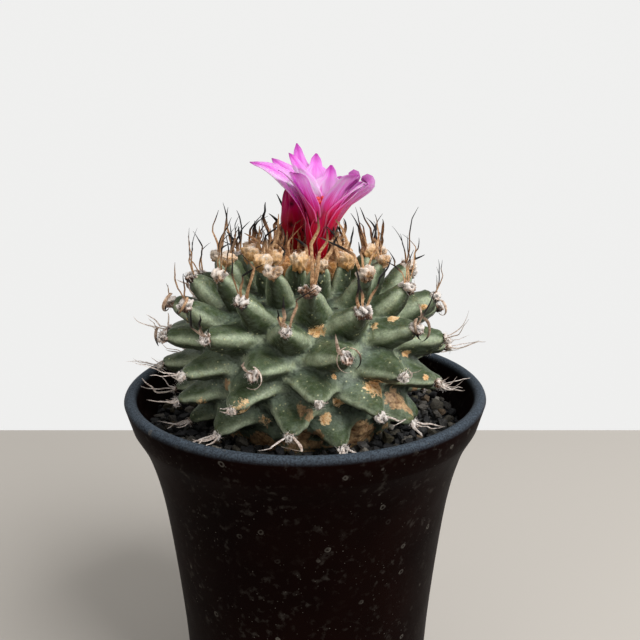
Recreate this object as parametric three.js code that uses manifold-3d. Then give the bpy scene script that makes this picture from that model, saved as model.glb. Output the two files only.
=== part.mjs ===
// A potted turbinicarpus alonsoi: a tubercled cactus with a magenta bloom in a flared black pot.
// Millimetres, +Z up. The foot of the pot stands on z = 0 and its axis is x = y = 0.

import * as THREE from 'three';
import { mergeVertices } from 'three/addons/utils/BufferGeometryUtils.js';
import Module from 'manifold-3d';

const wasm = await Module();
wasm.setup();

const CLEARANCE = 0.3; // kept between pieces that touch

// Pot: a trumpet of glazed pottery with a rounded lip, a foot ring and a drain hole
const POT_HEIGHT = 112;
const LIP_RADIUS = 1.75;
const LIP_CENTRE = 50.75; // from the axis to the middle of the lip, so the rim is 105 mm across
const POT_WALL = 3.2;
const POT_FLOOR = 6.5; // height of the inner floor
const FOOT_RECESS = 2.5;
const FOOT_RING_INSIDE = 31.5;
const DRAIN_RADIUS = 7;
const POT_OUTLINE = [[35.8, 0], [36.6, 1.2], [37.3, 12], [38.9, 42], [42.6, 77], [46.4, 94.5], [50.6, 103.7]];
const POT_SEGMENTS = 44;
const POT_STEPS = 7;

// Heights of the plant and the soil are given from the rim plane, the middle of the lip
const RIM_PLANE = POT_HEIGHT - LIP_RADIUS;

// Soil: black lava gravel that fills the pot to just below the lip
const SOIL_TOP = -8.2;
const SOIL_RINGS = 7;
const GRAIN_RELIEF = 0.9;
const GRAIN_SHIFT = 0.7;

// Stem: a flattened globe on a turnip-like root, as one outline from the root tip to the crown
const ROOT_OUTLINE = [[0, -62], [3.5, -58], [9, -43], [16, -28], [21, -17]];
const BODY_OUTLINE = [[24.5, -9], [28, 1], [29, 12], [27, 21], [21.5, 28], [13, 31], [6, 31], [0, 30.5]];
const STEM_SEGMENTS = 11;

// Tubercles: one spiral, numbered from the crown, whose tips lie on a flattened globe
const FIRST_TUBERCLE = 10;
const LAST_TUBERCLE = 92;
const DIVERGENCE = 137.688; // degrees from one tubercle to the next
const SPIRAL_START = 135.3; // heading of tubercle 0, degrees
const SPREAD = 1.483; // how fast the spiral leaves the crown, degrees
const SPREAD_POWER = 0.979;
const TIP_RADIUS = 42.55;
const TIP_CENTRE = 11.7;
const TIP_RISE = 35.2;
const TIP_FALL = 26.4;
const TIP_SQUARENESS = 0.959;
const CROWN_DIP = 6;
const CROWN_DIP_RADIUS = 11;
const TUBERCLE_LENGTH = 23;
const TUBERCLE_WIDTH = 14.5;
const TUBERCLE_HEIGHT = 10.5;
const AREOLE_RADIUS = 2.5;

// Spines: two or three flat, curved ones on each areole
const SPINE_LENGTH = 11.5;
const SPINE_RADIUS = 0.6;
const PLANT_REACH = 52; // no spine stands out past the rim of the pot

// Crown wool: the cushion in the middle of the crown that the blooms stand in
const WOOL_RADIUS = 9.5;
const WOOL_BOTTOM = 30.9;
const WOOL_TOP = 40;
const WOOL_BUMP = 0.8;
const CROWN_SPINES = 10;

// Blooms: where each tube starts, and which way it leans
const OPEN_BLOOM = { foot: [1.6, -2.2, 36.5], lean: [0.09, -0.02] };
const CLOSED_BLOOM = { foot: [-3.2, 4.6, 36.5], lean: [-0.02, 0.2] };
// The room that each bloom needs about its axis, kept free of spines and tubercles
const OPEN_ROOM = [[0, -0.4], [2.4, -0.4], [2.9, 4], [4.2, 8], [5.6, 12], [7.2, 15.5], [10, 22], [0, 22]];
const CLOSED_ROOM = [[0, -0.4], [2.4, -0.4], [3.2, 4], [5.2, 9], [5.6, 13], [4.6, 17.5], [2.8, 21.5], [0, 24]];
const BLOOM_FOOT_RADIUS = 2;
const TEPAL_THICKNESS = 0.8;

// Each tepal: its heading, the reach and rise of its tip from the tube's foot, its width and its curl
const TEPALS = [
  { heading: 178, reach: 19.2, rise: 27.2, width: 6, curl: -1.5 },
  { heading: 152, reach: 15, rise: 29, width: 6.5, curl: -1 },
  { heading: 122, reach: 13.5, rise: 33, width: 7.5, curl: 1 },
  { heading: 86, reach: 9.5, rise: 31, width: 6, curl: 1 },
  { heading: 58, reach: 8.5, rise: 29, width: 7, curl: 1 },
  { heading: 30, reach: 11, rise: 26.5, width: 7.5, curl: 0 },
  { heading: 8, reach: 12.5, rise: 27.5, width: 6, curl: 1 },
  { heading: -16, reach: 15.2, rise: 25.8, width: 6.5, curl: 2 },
  { heading: -52, reach: 8.5, rise: 25.7, width: 8, curl: 1 },
  { heading: -122, reach: 9.5, rise: 26.6, width: 8.5, curl: 1 },
  { heading: -160, reach: 9, rise: 22.5, width: 5, curl: 0 },
  { heading: -90, reach: 5.4, rise: 17.5, width: 5, curl: 0 },
];

// A fixed draw from 0 to 1 for piece number n, the same each time
function chance(n, kind) {
  const wave = Math.sin(n * 12.9898 + kind * 78.233) * 43758.5453;
  return wave - Math.floor(wave);
}

// A seeded run of draws from 0 to 1
function drawer(seed) {
  let state = seed;
  return () => {
    state = (state * 1664525 + 1013904223) % 4294967296;
    return state / 4294967296;
  };
}

function asSolid(geometry) {
  const plain = geometry.clone();
  plain.deleteAttribute('normal');
  plain.deleteAttribute('uv');
  const merged = mergeVertices(plain, 1e-4);
  const vertProperties = new Float32Array(merged.attributes.position.array);
  const triVerts = new Uint32Array(merged.index.array);
  return new wasm.Manifold(new wasm.Mesh({ numProp: 3, vertProperties, triVerts }));
}

function asGeometry(solid) {
  const mesh = solid.getMesh();
  const geometry = new THREE.BufferGeometry();
  geometry.setAttribute('position', new THREE.BufferAttribute(new Float32Array(mesh.vertProperties), 3));
  geometry.setIndex(new THREE.BufferAttribute(new Uint32Array(mesh.triVerts), 1));
  const flat = geometry.toNonIndexed();
  flat.computeVertexNormals();
  return flat;
}

// The one body that is left when a cut leaves loose scraps beside it
function largestBody(solid) {
  const bodies = solid.decompose();
  return bodies.reduce((best, body) => (body.volume() > best.volume() ? body : best));
}

function joined(solids) {
  return solids.reduce((whole, solid) => whole.add(solid));
}

function named(name, geometry, colour, roughness) {
  const material = new THREE.MeshStandardMaterial({ color: colour, roughness, metalness: 0 });
  const mesh = new THREE.Mesh(geometry, material);
  mesh.name = name;
  return mesh;
}

// A turned shape about the Z axis from a profile of [radius, height] pairs
function turned(profile, segments) {
  const points = profile.map(([radius, height]) => new THREE.Vector2(radius, height));
  return new THREE.LatheGeometry(points, segments).rotateX(Math.PI / 2);
}

function smoothed(outline, count) {
  const curve = new THREE.SplineCurve(outline.map(([r, z]) => new THREE.Vector2(r, z)));
  return curve.getPoints(count).map((p) => [Math.max(p.x, 0), p.y]);
}

// A cylinder, or a cone where it is pointed, whose every point is carried to place(along, angle, out):
// along runs from 0 to 1, and out is 1 on the side and 0 on the middle line
function bent(sides, steps, place, pointed = false) {
  const geometry = new THREE.CylinderGeometry(pointed ? 0 : 1, 1, 1, sides, steps);
  const position = geometry.attributes.position;
  for (let i = 0; i < position.count; i += 1) {
    const across = Math.hypot(position.getX(i), position.getZ(i));
    const angle = Math.atan2(position.getX(i), position.getZ(i));
    const point = place(position.getY(i) + 0.5, angle, across < 0.01 ? 0 : 1);
    position.setXYZ(i, point.x, point.y, point.z);
  }
  return geometry;
}

function heading(degrees) {
  const angle = THREE.MathUtils.degToRad(degrees);
  return new THREE.Vector3(Math.cos(angle), Math.sin(angle), 0);
}

// Pot

// The pot's wall from foot to lip, set in from its outer face by a distance
function potWall(distance) {
  const curve = new THREE.SplineCurve(POT_OUTLINE.slice(1).map(([r, z]) => new THREE.Vector2(r, z)));
  return curve.getPoints(POT_STEPS).map((point, i) => {
    const along = curve.getTangent(i / POT_STEPS);
    return [point.x - along.y * distance, point.y + along.x * distance];
  });
}

// The inner face from the floor's corner up, as a hollow that is smaller by a distance
function potHollow(distance) {
  const face = potWall(POT_WALL + distance).slice(1);
  return [[face[0][0] - 1, POT_FLOOR + distance], ...face];
}

function potLip() {
  const steps = 6;
  return Array.from({ length: steps + 1 }, (_, i) => {
    const angle = (Math.PI * i) / steps;
    return [LIP_CENTRE + LIP_RADIUS * Math.cos(angle), RIM_PLANE + LIP_RADIUS * Math.sin(angle)];
  });
}

function potProfile() {
  return [
    [DRAIN_RADIUS, FOOT_RECESS], [FOOT_RING_INSIDE, FOOT_RECESS], [FOOT_RING_INSIDE + 0.5, 0],
    POT_OUTLINE[0], ...potWall(0), ...potLip(), ...potHollow(0).reverse(),
    [DRAIN_RADIUS, POT_FLOOR], [DRAIN_RADIUS, FOOT_RECESS],
  ];
}

function pot() {
  return named('pot', turned(potProfile(), POT_SEGMENTS), 0x0b0909, 0.42);
}

// Stem and root

function stemOutline() {
  return smoothed([...ROOT_OUTLINE, ...BODY_OUTLINE], 12).map(([r, z]) => [r, z + RIM_PLANE]);
}

function tubercleTip(n) {
  const turn = THREE.MathUtils.degToRad(SPREAD * n ** SPREAD_POWER);
  const radius = TIP_RADIUS * Math.sin(turn) ** TIP_SQUARENESS;
  const lift = Math.sign(Math.cos(turn)) * Math.abs(Math.cos(turn)) ** TIP_SQUARENESS;
  const dip = CROWN_DIP * Math.exp(-((radius / CROWN_DIP_RADIUS) ** 2));
  const height = TIP_CENTRE + lift * (lift > 0 ? TIP_RISE : TIP_FALL) - dip;
  return { turn, radius, height };
}

// Young tubercles stand up, those at the belt lie level, and the oldest ones droop
function tubercleSlope(turn) {
  const degrees = THREE.MathUtils.radToDeg(turn);
  const young = 80 * Math.cos(1.12 * turn);
  return THREE.MathUtils.degToRad(Math.max(young, -0.6 * (degrees - 80)));
}

// The frame of tubercle n: its tip, the way it points, and the directions up and across it
function tubercleFrame(n) {
  const tip = tubercleTip(n);
  const out = heading(SPIRAL_START + DIVERGENCE * n + (chance(n, 1) - 0.5) * 3);
  const slope = tubercleSlope(tip.turn) + (chance(n, 2) - 0.5) * 0.14;
  const along = out.clone().multiplyScalar(Math.cos(slope)).setZ(Math.sin(slope));
  const up = out.clone().multiplyScalar(-Math.sin(slope)).setZ(Math.cos(slope));
  const side = new THREE.Vector3().crossVectors(along, up);
  const end = out.clone().multiplyScalar(tip.radius).setZ(tip.height + RIM_PLANE);
  const size = THREE.MathUtils.clamp(0.5 + 0.5 * (n - FIRST_TUBERCLE) / 36, 0.5, 1);
  return { n, along, up, side, end, size };
}

// Place, width and height of each section: root, belly, neck and the woolly end
const TUBERCLE_SECTIONS = [
  [0.9, 0.85, 0.85], [0.38, 1, 1], [0.06, 0.48, 0.56], [-0.07, 0.28, 0.34],
];

// A tubercle is five sided, with a flat top and a keel below
function tubercle(frame) {
  const last = TUBERCLE_SECTIONS.length - 1;
  return bent(5, last, (t, turn, out) => {
    const angle = turn + Math.PI / 5;
    const [back, wide, high] = TUBERCLE_SECTIONS[Math.round(t * last)];
    const across = Math.sin(angle) * out * wide * frame.size * TUBERCLE_WIDTH * 0.53;
    const lift = Math.cos(angle) * 0.55 * out;
    const rise = lift * high * frame.size * TUBERCLE_HEIGHT + 1.2 * (1 - back) ** 2;
    return frame.end.clone()
      .addScaledVector(frame.along, -back * TUBERCLE_LENGTH)
      .addScaledVector(frame.side, across)
      .addScaledVector(frame.up, rise);
  });
}

// A spine leaves its areole outward and curves up towards the crown
function spine(start, first, towards, length, radius) {
  const middle = start.clone().addScaledVector(first, length * 0.55);
  const end = middle.clone().addScaledVector(towards, length * 0.5);
  const curve = new THREE.QuadraticBezierCurve3(start, middle, end);
  const side = new THREE.Vector3().crossVectors(first, towards).normalize();
  return bent(3, 2, (t, angle, out) => {
    const thick = radius * (1 - 0.5 * t) * out;
    const normal = new THREE.Vector3().crossVectors(side, curve.getTangent(t)).normalize();
    return curve.getPoint(t)
      .addScaledVector(side, Math.sin(angle) * thick)
      .addScaledVector(normal, Math.cos(angle) * thick);
  }, true);
}

// Two spines to an areole, spread to its two sides
function tubercleSpines(frame) {
  return [-1, 1].map((hand) => {
    const start = frame.end.clone().addScaledVector(frame.side, hand * 0.9)
      .addScaledVector(frame.up, 2.3).addScaledVector(frame.along, -3.3);
    const swing = hand * (0.25 + 0.3 * chance(frame.n, 4 + hand));
    const first = frame.along.clone().addScaledVector(frame.side, swing)
      .addScaledVector(frame.up, 0.6 + 0.4 * chance(frame.n, 7 + hand)).normalize();
    const towards = new THREE.Vector3(0, 0, 1).addScaledVector(frame.side, swing * 0.7)
      .addScaledVector(frame.along, 0.25 * chance(frame.n, 10 + hand)).normalize();
    const wanted = SPINE_LENGTH * (0.8 + 0.35 * chance(frame.n, 13 + hand));
    const reach = Math.hypot(start.x + first.x * wanted * 0.8, start.y + first.y * wanted * 0.8);
    return spine(start, first, towards, reach < PLANT_REACH ? wanted : wanted * 0.7, SPINE_RADIUS);
  });
}

function stemSolid() {
  const pieces = [asSolid(turned(stemOutline(), STEM_SEGMENTS))];
  for (let n = FIRST_TUBERCLE; n <= LAST_TUBERCLE; n += 1) {
    const frame = tubercleFrame(n);
    pieces.push(asSolid(tubercle(frame)));
    tubercleSpines(frame).forEach((one) => pieces.push(asSolid(one)));
  }
  return joined(pieces);
}

// Soil

function grown(outline, distance) {
  return outline.map(([radius, height], i) => {
    const before = outline[Math.max(i - 1, 0)];
    const after = outline[Math.min(i + 1, outline.length - 1)];
    const along = new THREE.Vector2(after[0] - before[0], after[1] - before[1]).normalize();
    return [radius < 0.01 ? 0 : radius + along.y * distance, height - along.x * distance];
  });
}

// The radius of an outline where it crosses a height
function radiusAt(outline, height) {
  const i = outline.findIndex(([, z]) => z > height);
  const [below, above] = [outline[i - 1], outline[i]];
  return below[0] + ((above[0] - below[0]) * (height - below[1])) / (above[1] - below[1]);
}

function soilProfile() {
  const top = SOIL_TOP + RIM_PLANE;
  const wall = potHollow(CLEARANCE);
  const hole = grown(stemOutline(), CLEARANCE + 0.1);
  const reach = radiusAt(wall, top - GRAIN_RELIEF);
  const mouth = radiusAt(hole, top);
  const rings = Array.from({ length: SOIL_RINGS + 1 }, (_, i) => [reach + ((mouth - reach) * i) / SOIL_RINGS, top]);
  const sides = wall.filter(([, z]) => z < top - 1);
  const root = hole.filter(([, z]) => z < top - 1).reverse();
  return [[0, POT_FLOOR + CLEARANCE], ...sides, ...rings, ...root];
}

// The top of the fill is broken up into grains by moving its points a little
function soil() {
  const draw = drawer(7);
  const plain = turned(soilProfile(), POT_SEGMENTS);
  plain.deleteAttribute('normal');
  plain.deleteAttribute('uv');
  const fill = mergeVertices(plain, 1e-4);
  const position = fill.attributes.position;
  const top = SOIL_TOP + RIM_PLANE;
  for (let i = 0; i < position.count; i += 1) {
    const dx = (draw() - 0.5) * GRAIN_SHIFT;
    const dy = (draw() - 0.5) * GRAIN_SHIFT;
    const dz = (draw() * 2 - 1) * GRAIN_RELIEF;
    const inside = Math.hypot(position.getX(i), position.getY(i));
    if (Math.abs(position.getZ(i) - top) < 0.01) {
      const free = inside > 30 && inside < 43 ? 1 : 0;
      position.setXYZ(i, position.getX(i) + dx * free, position.getY(i) + dy * free, top + dz);
    }
  }
  return fill;
}

// Crown wool

function woolCushion(grow) {
  const draw = drawer(19);
  const middle = (WOOL_TOP + WOOL_BOTTOM) / 2;
  const rise = (WOOL_TOP - WOOL_BOTTOM) / 2;
  const cushion = new THREE.SphereGeometry(1, 14, 8).rotateX(Math.PI / 2);
  cushion.deleteAttribute('normal');
  cushion.deleteAttribute('uv');
  const geometry = mergeVertices(cushion, 1e-4);
  const position = geometry.attributes.position;
  for (let i = 0; i < position.count; i += 1) {
    const bump = (draw() - 0.5) * WOOL_BUMP * 2 + grow;
    const wide = (WOOL_RADIUS + bump) * (1 - 0.12 * position.getZ(i));
    position.setXYZ(
      i, position.getX(i) * wide, position.getY(i) * wide,
      middle + RIM_PLANE + position.getZ(i) * (rise + bump),
    );
  }
  return asSolid(geometry);
}

function crownSpines(grow) {
  const draw = drawer(5);
  return Array.from({ length: CROWN_SPINES }, (_, k) => {
    const out = heading(DIVERGENCE * k);
    const start = out.clone().multiplyScalar(WOOL_RADIUS * (0.65 + 0.2 * draw()));
    start.setZ(RIM_PLANE + WOOL_TOP - 2.8);
    const first = out.clone().multiplyScalar(0.3 + 0.2 * draw()).setZ(1).normalize();
    const towards = out.clone().multiplyScalar(-0.3 + 0.5 * draw()).setZ(1).normalize();
    return asSolid(spine(start, first, towards, SPINE_LENGTH * (0.85 + 0.3 * draw()) + grow, SPINE_RADIUS + grow));
  });
}

// Blooms are made about their own axis and then stood in the wool

function placed(geometry, bloom) {
  const [x, y, z] = bloom.foot;
  const axis = new THREE.Vector3(bloom.lean[0], bloom.lean[1], 1).normalize();
  const turn = new THREE.Quaternion().setFromUnitVectors(new THREE.Vector3(0, 0, 1), axis);
  return geometry.clone().applyQuaternion(turn).translate(x, y, z + RIM_PLANE);
}

function bloomRoom(room, bloom) {
  return asSolid(placed(turned(room, 14), bloom));
}

// A tepal is a blade whose edges are turned inward, with every second one nearer to the axis
function tepal(shape, index) {
  const out = heading(shape.heading);
  const side = heading(shape.heading + 90);
  const inner = index % 2 ? 0.6 : 0;
  const line = new THREE.CatmullRomCurve3([
    out.clone().multiplyScalar(2.9 - inner).setZ(8),
    out.clone().multiplyScalar(shape.reach * 0.24 + 2.6 - inner).setZ(shape.rise * 0.6),
    out.clone().multiplyScalar(shape.reach * 0.7 + shape.curl * 0.4).setZ(shape.rise * 0.86),
    out.clone().multiplyScalar(shape.reach - shape.curl * 0.3).setZ(shape.rise),
  ]);
  return bent(6, 4, (t, angle, wide) => {
    const width = shape.width * (0.32 + 0.68 * Math.sin(Math.PI * (0.12 + 0.78 * t))) * (t > 0.98 ? 0.4 : 1);
    const across = Math.sin(angle) * width * 0.56 * wide;
    const through = Math.cos(angle) * TEPAL_THICKNESS * 0.58 * wide;
    const face = new THREE.Vector3().crossVectors(side, line.getTangent(t)).normalize();
    const cup = (across / width) ** 2 * width * 0.7;
    return line.getPoint(t).addScaledVector(side, across).addScaledVector(face, through - cup);
  });
}

function bloomTube() {
  return turned([
    [0, 0], [1.7, 0.2], [BLOOM_FOOT_RADIUS, 1.2], [2.3, 4], [3.2, 8], [4.4, 12], [5.5, 15.5],
    [4.7, 15.9], [3.6, 12.5], [2.3, 9], [0, 7.5],
  ], 12);
}

function style() {
  const draw = drawer(3);
  const pieces = [asSolid(bent(6, 1, (t, angle, out) => new THREE.Vector3(
    Math.sin(angle) * 0.6 * out, -Math.cos(angle) * 0.6 * out, 6 + 11.5 * t,
  )))];
  for (let k = 0; k < 6; k += 1) {
    const out = heading(60 * k);
    const reach = 1.8 + 1.3 * draw();
    const end = out.clone().multiplyScalar(reach).setZ(13.5 + 3 * draw());
    const start = out.clone().multiplyScalar(0.9).setZ(6.6);
    pieces.push(asSolid(bent(3, 1, (t, angle, round) => start.clone().lerp(end, t)
      .add(new THREE.Vector3(Math.sin(angle), -Math.cos(angle), 0).multiplyScalar(0.35 * round)))));
    pieces.push(asSolid(new THREE.OctahedronGeometry(0.65).translate(end.x, end.y, end.z)));
  }
  return joined(pieces);
}

function openBloom() {
  const pieces = [asSolid(bloomTube()), ...TEPALS.map((shape, i) => asSolid(tepal(shape, i))), style()];
  const whole = joined(pieces);
  return asSolid(placed(asGeometry(largestBody(whole)), OPEN_BLOOM));
}

// The closed bloom is a furled bud shape wrapped in overlapping tepals
function closedBloom() {
  const body = turned([
    [0, 0], [1.7, 0.2], [BLOOM_FOOT_RADIUS, 1.2], [2.6, 4], [3.7, 9], [3.9, 13], [3.1, 17.5], [1.5, 21], [0, 22.4],
  ], 12);
  const pieces = [asSolid(body)];
  for (let k = 0; k < 5; k += 1) {
    const out = heading(72 * k + 20);
    const side = heading(72 * k + 110);
    const top = 18.5 + (k % 3) * 2;
    const line = new THREE.CatmullRomCurve3([
      out.clone().multiplyScalar(1.4).setZ(3), out.clone().multiplyScalar(3.5).setZ(8.5),
      out.clone().multiplyScalar(4).setZ(13), out.clone().multiplyScalar(1.9).setZ(top),
    ]);
    pieces.push(asSolid(bent(6, 3, (t, angle, wide) => {
      const width = 2.6 * (0.35 + 0.65 * Math.sin(Math.PI * Math.min(t * 0.8 + 0.1, 1)));
      const across = Math.sin(angle) * width * wide;
      const face = new THREE.Vector3().crossVectors(side, line.getTangent(t)).normalize();
      const through = Math.cos(angle) * TEPAL_THICKNESS * 0.6 * wide - (across / width) ** 2 * 0.7;
      return line.getPoint(t).addScaledVector(side, across).addScaledVector(face, through);
    })));
  }
  return asSolid(placed(asGeometry(joined(pieces)), CLOSED_BLOOM));
}

// What the low tubercles and their spines are kept clear of: the gravel outside the root
function soilClearance() {
  const top = SOIL_TOP + RIM_PLANE + GRAIN_RELIEF + CLEARANCE;
  const collar = stemOutline().find(([, z]) => z > top)[0] - 1.5;
  return asSolid(turned([[collar, top - 30], [60, top - 30], [60, top], [collar, top], [collar, top - 30]], 48));
}

function plant() {
  const woolRoom = joined([woolCushion(CLEARANCE), ...crownSpines(CLEARANCE)]);
  const stem = stemSolid().subtract(soilClearance()).subtract(woolRoom);
  const holes = bloomRoom(OPEN_ROOM, OPEN_BLOOM).add(bloomRoom(CLOSED_ROOM, CLOSED_BLOOM));
  const wool = joined([woolCushion(0), ...crownSpines(0)]).subtract(holes);
  return [
    named('stem', asGeometry(largestBody(stem.subtract(holes))), 0x5b6f58, 0.7),
    named('crown_wool', asGeometry(largestBody(wool)), 0xd9b080, 0.95),
    named('bloom_open', asGeometry(openBloom()), 0xd053c4, 0.5),
    named('bloom_closed', asGeometry(closedBloom()), 0x7d1150, 0.5),
  ];
}

const pottedCactus = new THREE.Group();
pottedCactus.add(pot());
pottedCactus.add(named('soil', soil(), 0x1d1e20, 0.95));
plant().forEach((piece) => pottedCactus.add(piece));

export default pottedCactus;
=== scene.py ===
"""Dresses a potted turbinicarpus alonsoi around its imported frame.

Sizes are in millimetres. The foot of the pot stands on z = 0, and heights of the plant and the
gravel are from the rim plane, the middle of the lip. The camera stands on the side of -y.
"""

import math

import bmesh
import bpy
import numpy as np
import openvdb
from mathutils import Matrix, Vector, noise


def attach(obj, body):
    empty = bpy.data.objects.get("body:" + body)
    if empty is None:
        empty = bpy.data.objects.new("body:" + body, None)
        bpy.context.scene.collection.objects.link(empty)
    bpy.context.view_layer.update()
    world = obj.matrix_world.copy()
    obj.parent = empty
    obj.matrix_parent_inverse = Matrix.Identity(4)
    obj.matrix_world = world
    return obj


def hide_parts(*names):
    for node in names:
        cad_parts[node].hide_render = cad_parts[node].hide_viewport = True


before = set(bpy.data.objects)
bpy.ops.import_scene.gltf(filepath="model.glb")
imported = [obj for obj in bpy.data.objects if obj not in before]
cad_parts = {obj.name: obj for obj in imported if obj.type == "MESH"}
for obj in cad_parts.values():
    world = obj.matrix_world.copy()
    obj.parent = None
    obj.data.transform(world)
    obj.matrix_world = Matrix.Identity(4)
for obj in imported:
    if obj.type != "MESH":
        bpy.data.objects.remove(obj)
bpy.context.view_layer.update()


# Pot
# One thrown stoneware pot with a flared mouth, a rolled lip, a foot ring and a drain hole.
# It was dipped in a satin black glaze, which shows fine orange peel; a painted highlight lies along the lip.

POT_HEIGHT = 112
LIP_RADIUS = 1.75
LIP_CENTRE = 50.75
RIM_PLANE = POT_HEIGHT - LIP_RADIUS
POT_WALL = 3.2
POT_FLOOR = 6.5
FOOT_RECESS = 2.5
FOOT_RING_INSIDE = 31.5
DRAIN_RADIUS = 7
POT_OUTLINE = [(35.8, 0), (36.6, 1.2), (37.3, 12), (38.9, 42), (42.6, 77), (46.4, 94.5), (50.6, 103.7)]
POT_SEGMENTS = 224
OUT_OF_ROUND = 0.0006  # a thrown pot is never quite round

GLAZE_BLACK = "#040202"
# Painted warm reflection, laid on in random patches
GLAZE_WARM_REFLECTION = "#180906"
# Painted highlight along the crest of the lip
GLAZE_LIP_HIGHLIGHT = "#4d5761"
GLAZE_BLOOM = "#6a665f"  # the grey of dried drops and pinholes
WARM_REFLECTION_PATCH = 26  # stretches that carry the painted warm reflection
PEEL_GRAIN = 0.45  # one dimple of the orange peel
SPECK_SPACING = 1.6
SMUDGE_WIDTH = 2.2
RING_SPACING = 7.5
RING_RADIUS = 0.62
RING_WOBBLE = 1.6
MARKED_PATCH = 11  # stretches with more specks and rings than others
SWELL_WIDTH = 14


def linear(colour):
    """An sRGB hex colour as linear red, green, blue and alpha."""
    parts = [int(colour[i:i + 2], 16) / 255 for i in (1, 3, 5)]
    return [p / 12.92 if p < 0.04045 else ((p + 0.055) / 1.055) ** 2.4 for p in parts] + [1]


def add(tree, kind, inputs=(), output=0, **settings):
    """Adds a shader node with its settings, sets or links its inputs, and gives one of its outputs.

    Inputs come by name, or as a list in the order of the sockets. A colour comes as sRGB hex.
    """
    made = tree.nodes.new("ShaderNode" + kind)
    for name, value in settings.items():
        if name == "stops":
            ramp = made.color_ramp.elements
            ramp.remove(ramp[1])
            ramp[0].position, ramp[0].color = value[0][0], linear(value[0][1])
            for position, colour in value[1:]:
                ramp.new(position).color = linear(colour)
        elif name == "interpolation":
            made.color_ramp.interpolation = value
        else:
            setattr(made, name, value)
    for socket, value in inputs.items() if isinstance(inputs, dict) else enumerate(inputs):
        if isinstance(value, bpy.types.NodeSocket):
            tree.links.new(value, made.inputs[socket])
        else:
            made.inputs[socket].default_value = linear(value) if isinstance(value, str) else value
    return made.outputs[output] if made.outputs else None


def new_finish(name):
    """A material with its tree and the place on the object in millimetres."""
    material = bpy.data.materials.new(name)
    material.use_nodes = True
    tree = material.node_tree
    tree.nodes.clear()
    place = add(tree, "TexCoord", output="Object")
    return material, tree, add(tree, "Mapping", {"Vector": place, "Scale": (1000, 1000, 1000)})


def curve_through(points, count):
    """A smooth line of count points through the given ones."""
    points = np.asarray(points, float)
    padded = np.vstack([points[:1], points, points[-1:]])
    at = np.linspace(0, len(points) - 1, count)
    i = np.minimum(at.astype(int), len(points) - 2)
    t = (at - i)[:, None]
    a, b, c, d = (padded[i + k] for k in range(4))
    bend = (2 * a - 5 * b + 4 * c - d) * t ** 2 + (3 * b - a - 3 * c + d) * t ** 3
    return 0.5 * (2 * b + (c - a) * t + bend)


def unit(vectors):
    """The same directions at length 1."""
    return vectors / np.linalg.norm(vectors, axis=-1, keepdims=True)


def turned(profile, segments):
    """Points and faces of a closed profile of (radius, height) turned about the axis."""
    profile = np.asarray(profile, float)
    angles = np.linspace(0, 2 * np.pi, segments, endpoint=False)
    radius, height = profile[:, :1], np.repeat(profile[:, 1:], segments, axis=1)
    points = np.stack([radius * np.cos(angles), radius * np.sin(angles), height], axis=-1)
    row, column = np.meshgrid(np.arange(len(profile)) * segments, np.arange(segments), indexing="ij")
    below, beside = np.roll(row, -1, axis=0), np.roll(column, -1, axis=1)
    corners = [row + column, row + beside, below + beside, below + column]
    return points.reshape(-1, 3), np.stack(corners, axis=-1).reshape(-1, 4)


def make_piece(name, points, faces, finish, replaces=(), crease=180, marks=()):
    """A mesh piece from points in millimetres, riding on the pot, with a number per point for each mark."""
    mesh = bpy.data.meshes.new(name)
    mesh.from_pydata((np.asarray(points) / 1000).tolist(), [], [list(map(int, face)) for face in faces])
    mesh.materials.append(finish)
    mesh.shade_smooth()
    if crease < 180:
        mesh.set_sharp_from_angle(angle=math.radians(crease))
    for mark, values in dict(marks).items():
        layer = mesh.attributes.new(mark, "FLOAT", "POINT")
        layer.data.foreach_set("value", np.asarray(values, np.float32))
    piece = bpy.data.objects.new(name, mesh)
    bpy.context.scene.collection.objects.link(piece)
    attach(piece, "root")
    if replaces:
        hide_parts(*replaces)


def pot_wall(distance, steps=72):
    """The wall from foot to lip, set in from its outer face by a distance."""
    line = curve_through(POT_OUTLINE[1:], steps)
    along = unit(np.gradient(line, axis=0))
    return np.stack([line[:, 0] - along[:, 1] * distance, line[:, 1] + along[:, 0] * distance], axis=1)


def rounded(corner, before, after, radius, steps=4):
    """A corner of a profile as an arc."""
    corner = np.array(corner, float)
    start = corner + unit(np.array(before, float) - corner) * radius
    stop = corner + unit(np.array(after, float) - corner) * radius
    t = np.linspace(0, 1, steps + 1)[:, None]
    return (1 - t) ** 2 * start + 2 * t * (1 - t) * corner + t ** 2 * stop


turn = np.linspace(0, np.pi, 17)[1:-1]
lip = np.stack([LIP_CENTRE + LIP_RADIUS * np.cos(turn), RIM_PLANE + LIP_RADIUS * np.sin(turn)], axis=1)
inside = pot_wall(POT_WALL)[::-1]
inside = inside[inside[:, 1] > POT_FLOOR + 3]
floor_edge, drain_top = (inside[-1][0] - 0.6, POT_FLOOR), (DRAIN_RADIUS, POT_FLOOR)
recess_edge, drain_bottom = (FOOT_RING_INSIDE, FOOT_RECESS), (DRAIN_RADIUS, FOOT_RECESS)
ring_inner, ring_outer = (FOOT_RING_INSIDE + 0.5, 0), POT_OUTLINE[0]
pot_profile = np.vstack([
    rounded(drain_bottom, drain_top, recess_edge, 0.8),
    rounded(recess_edge, drain_bottom, ring_inner, 1),
    rounded(ring_inner, recess_edge, ring_outer, 0.6),
    rounded(ring_outer, ring_inner, POT_OUTLINE[1], 0.6),
    pot_wall(0), lip, inside,
    rounded(floor_edge, inside[-1], drain_top, 2.2),
    rounded(drain_top, floor_edge, drain_bottom, 0.8),
])
pot_points, pot_faces = turned(pot_profile, POT_SEGMENTS)
around = np.arctan2(pot_points[:, 1:2], pot_points[:, :1])
pot_points[:, :2] *= (1 + OUT_OF_ROUND * np.sin(3 * around + 0.6)) * (1 - OUT_OF_ROUND)

glaze, tree, place = new_finish("satin_black_stoneware_glaze")
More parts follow.
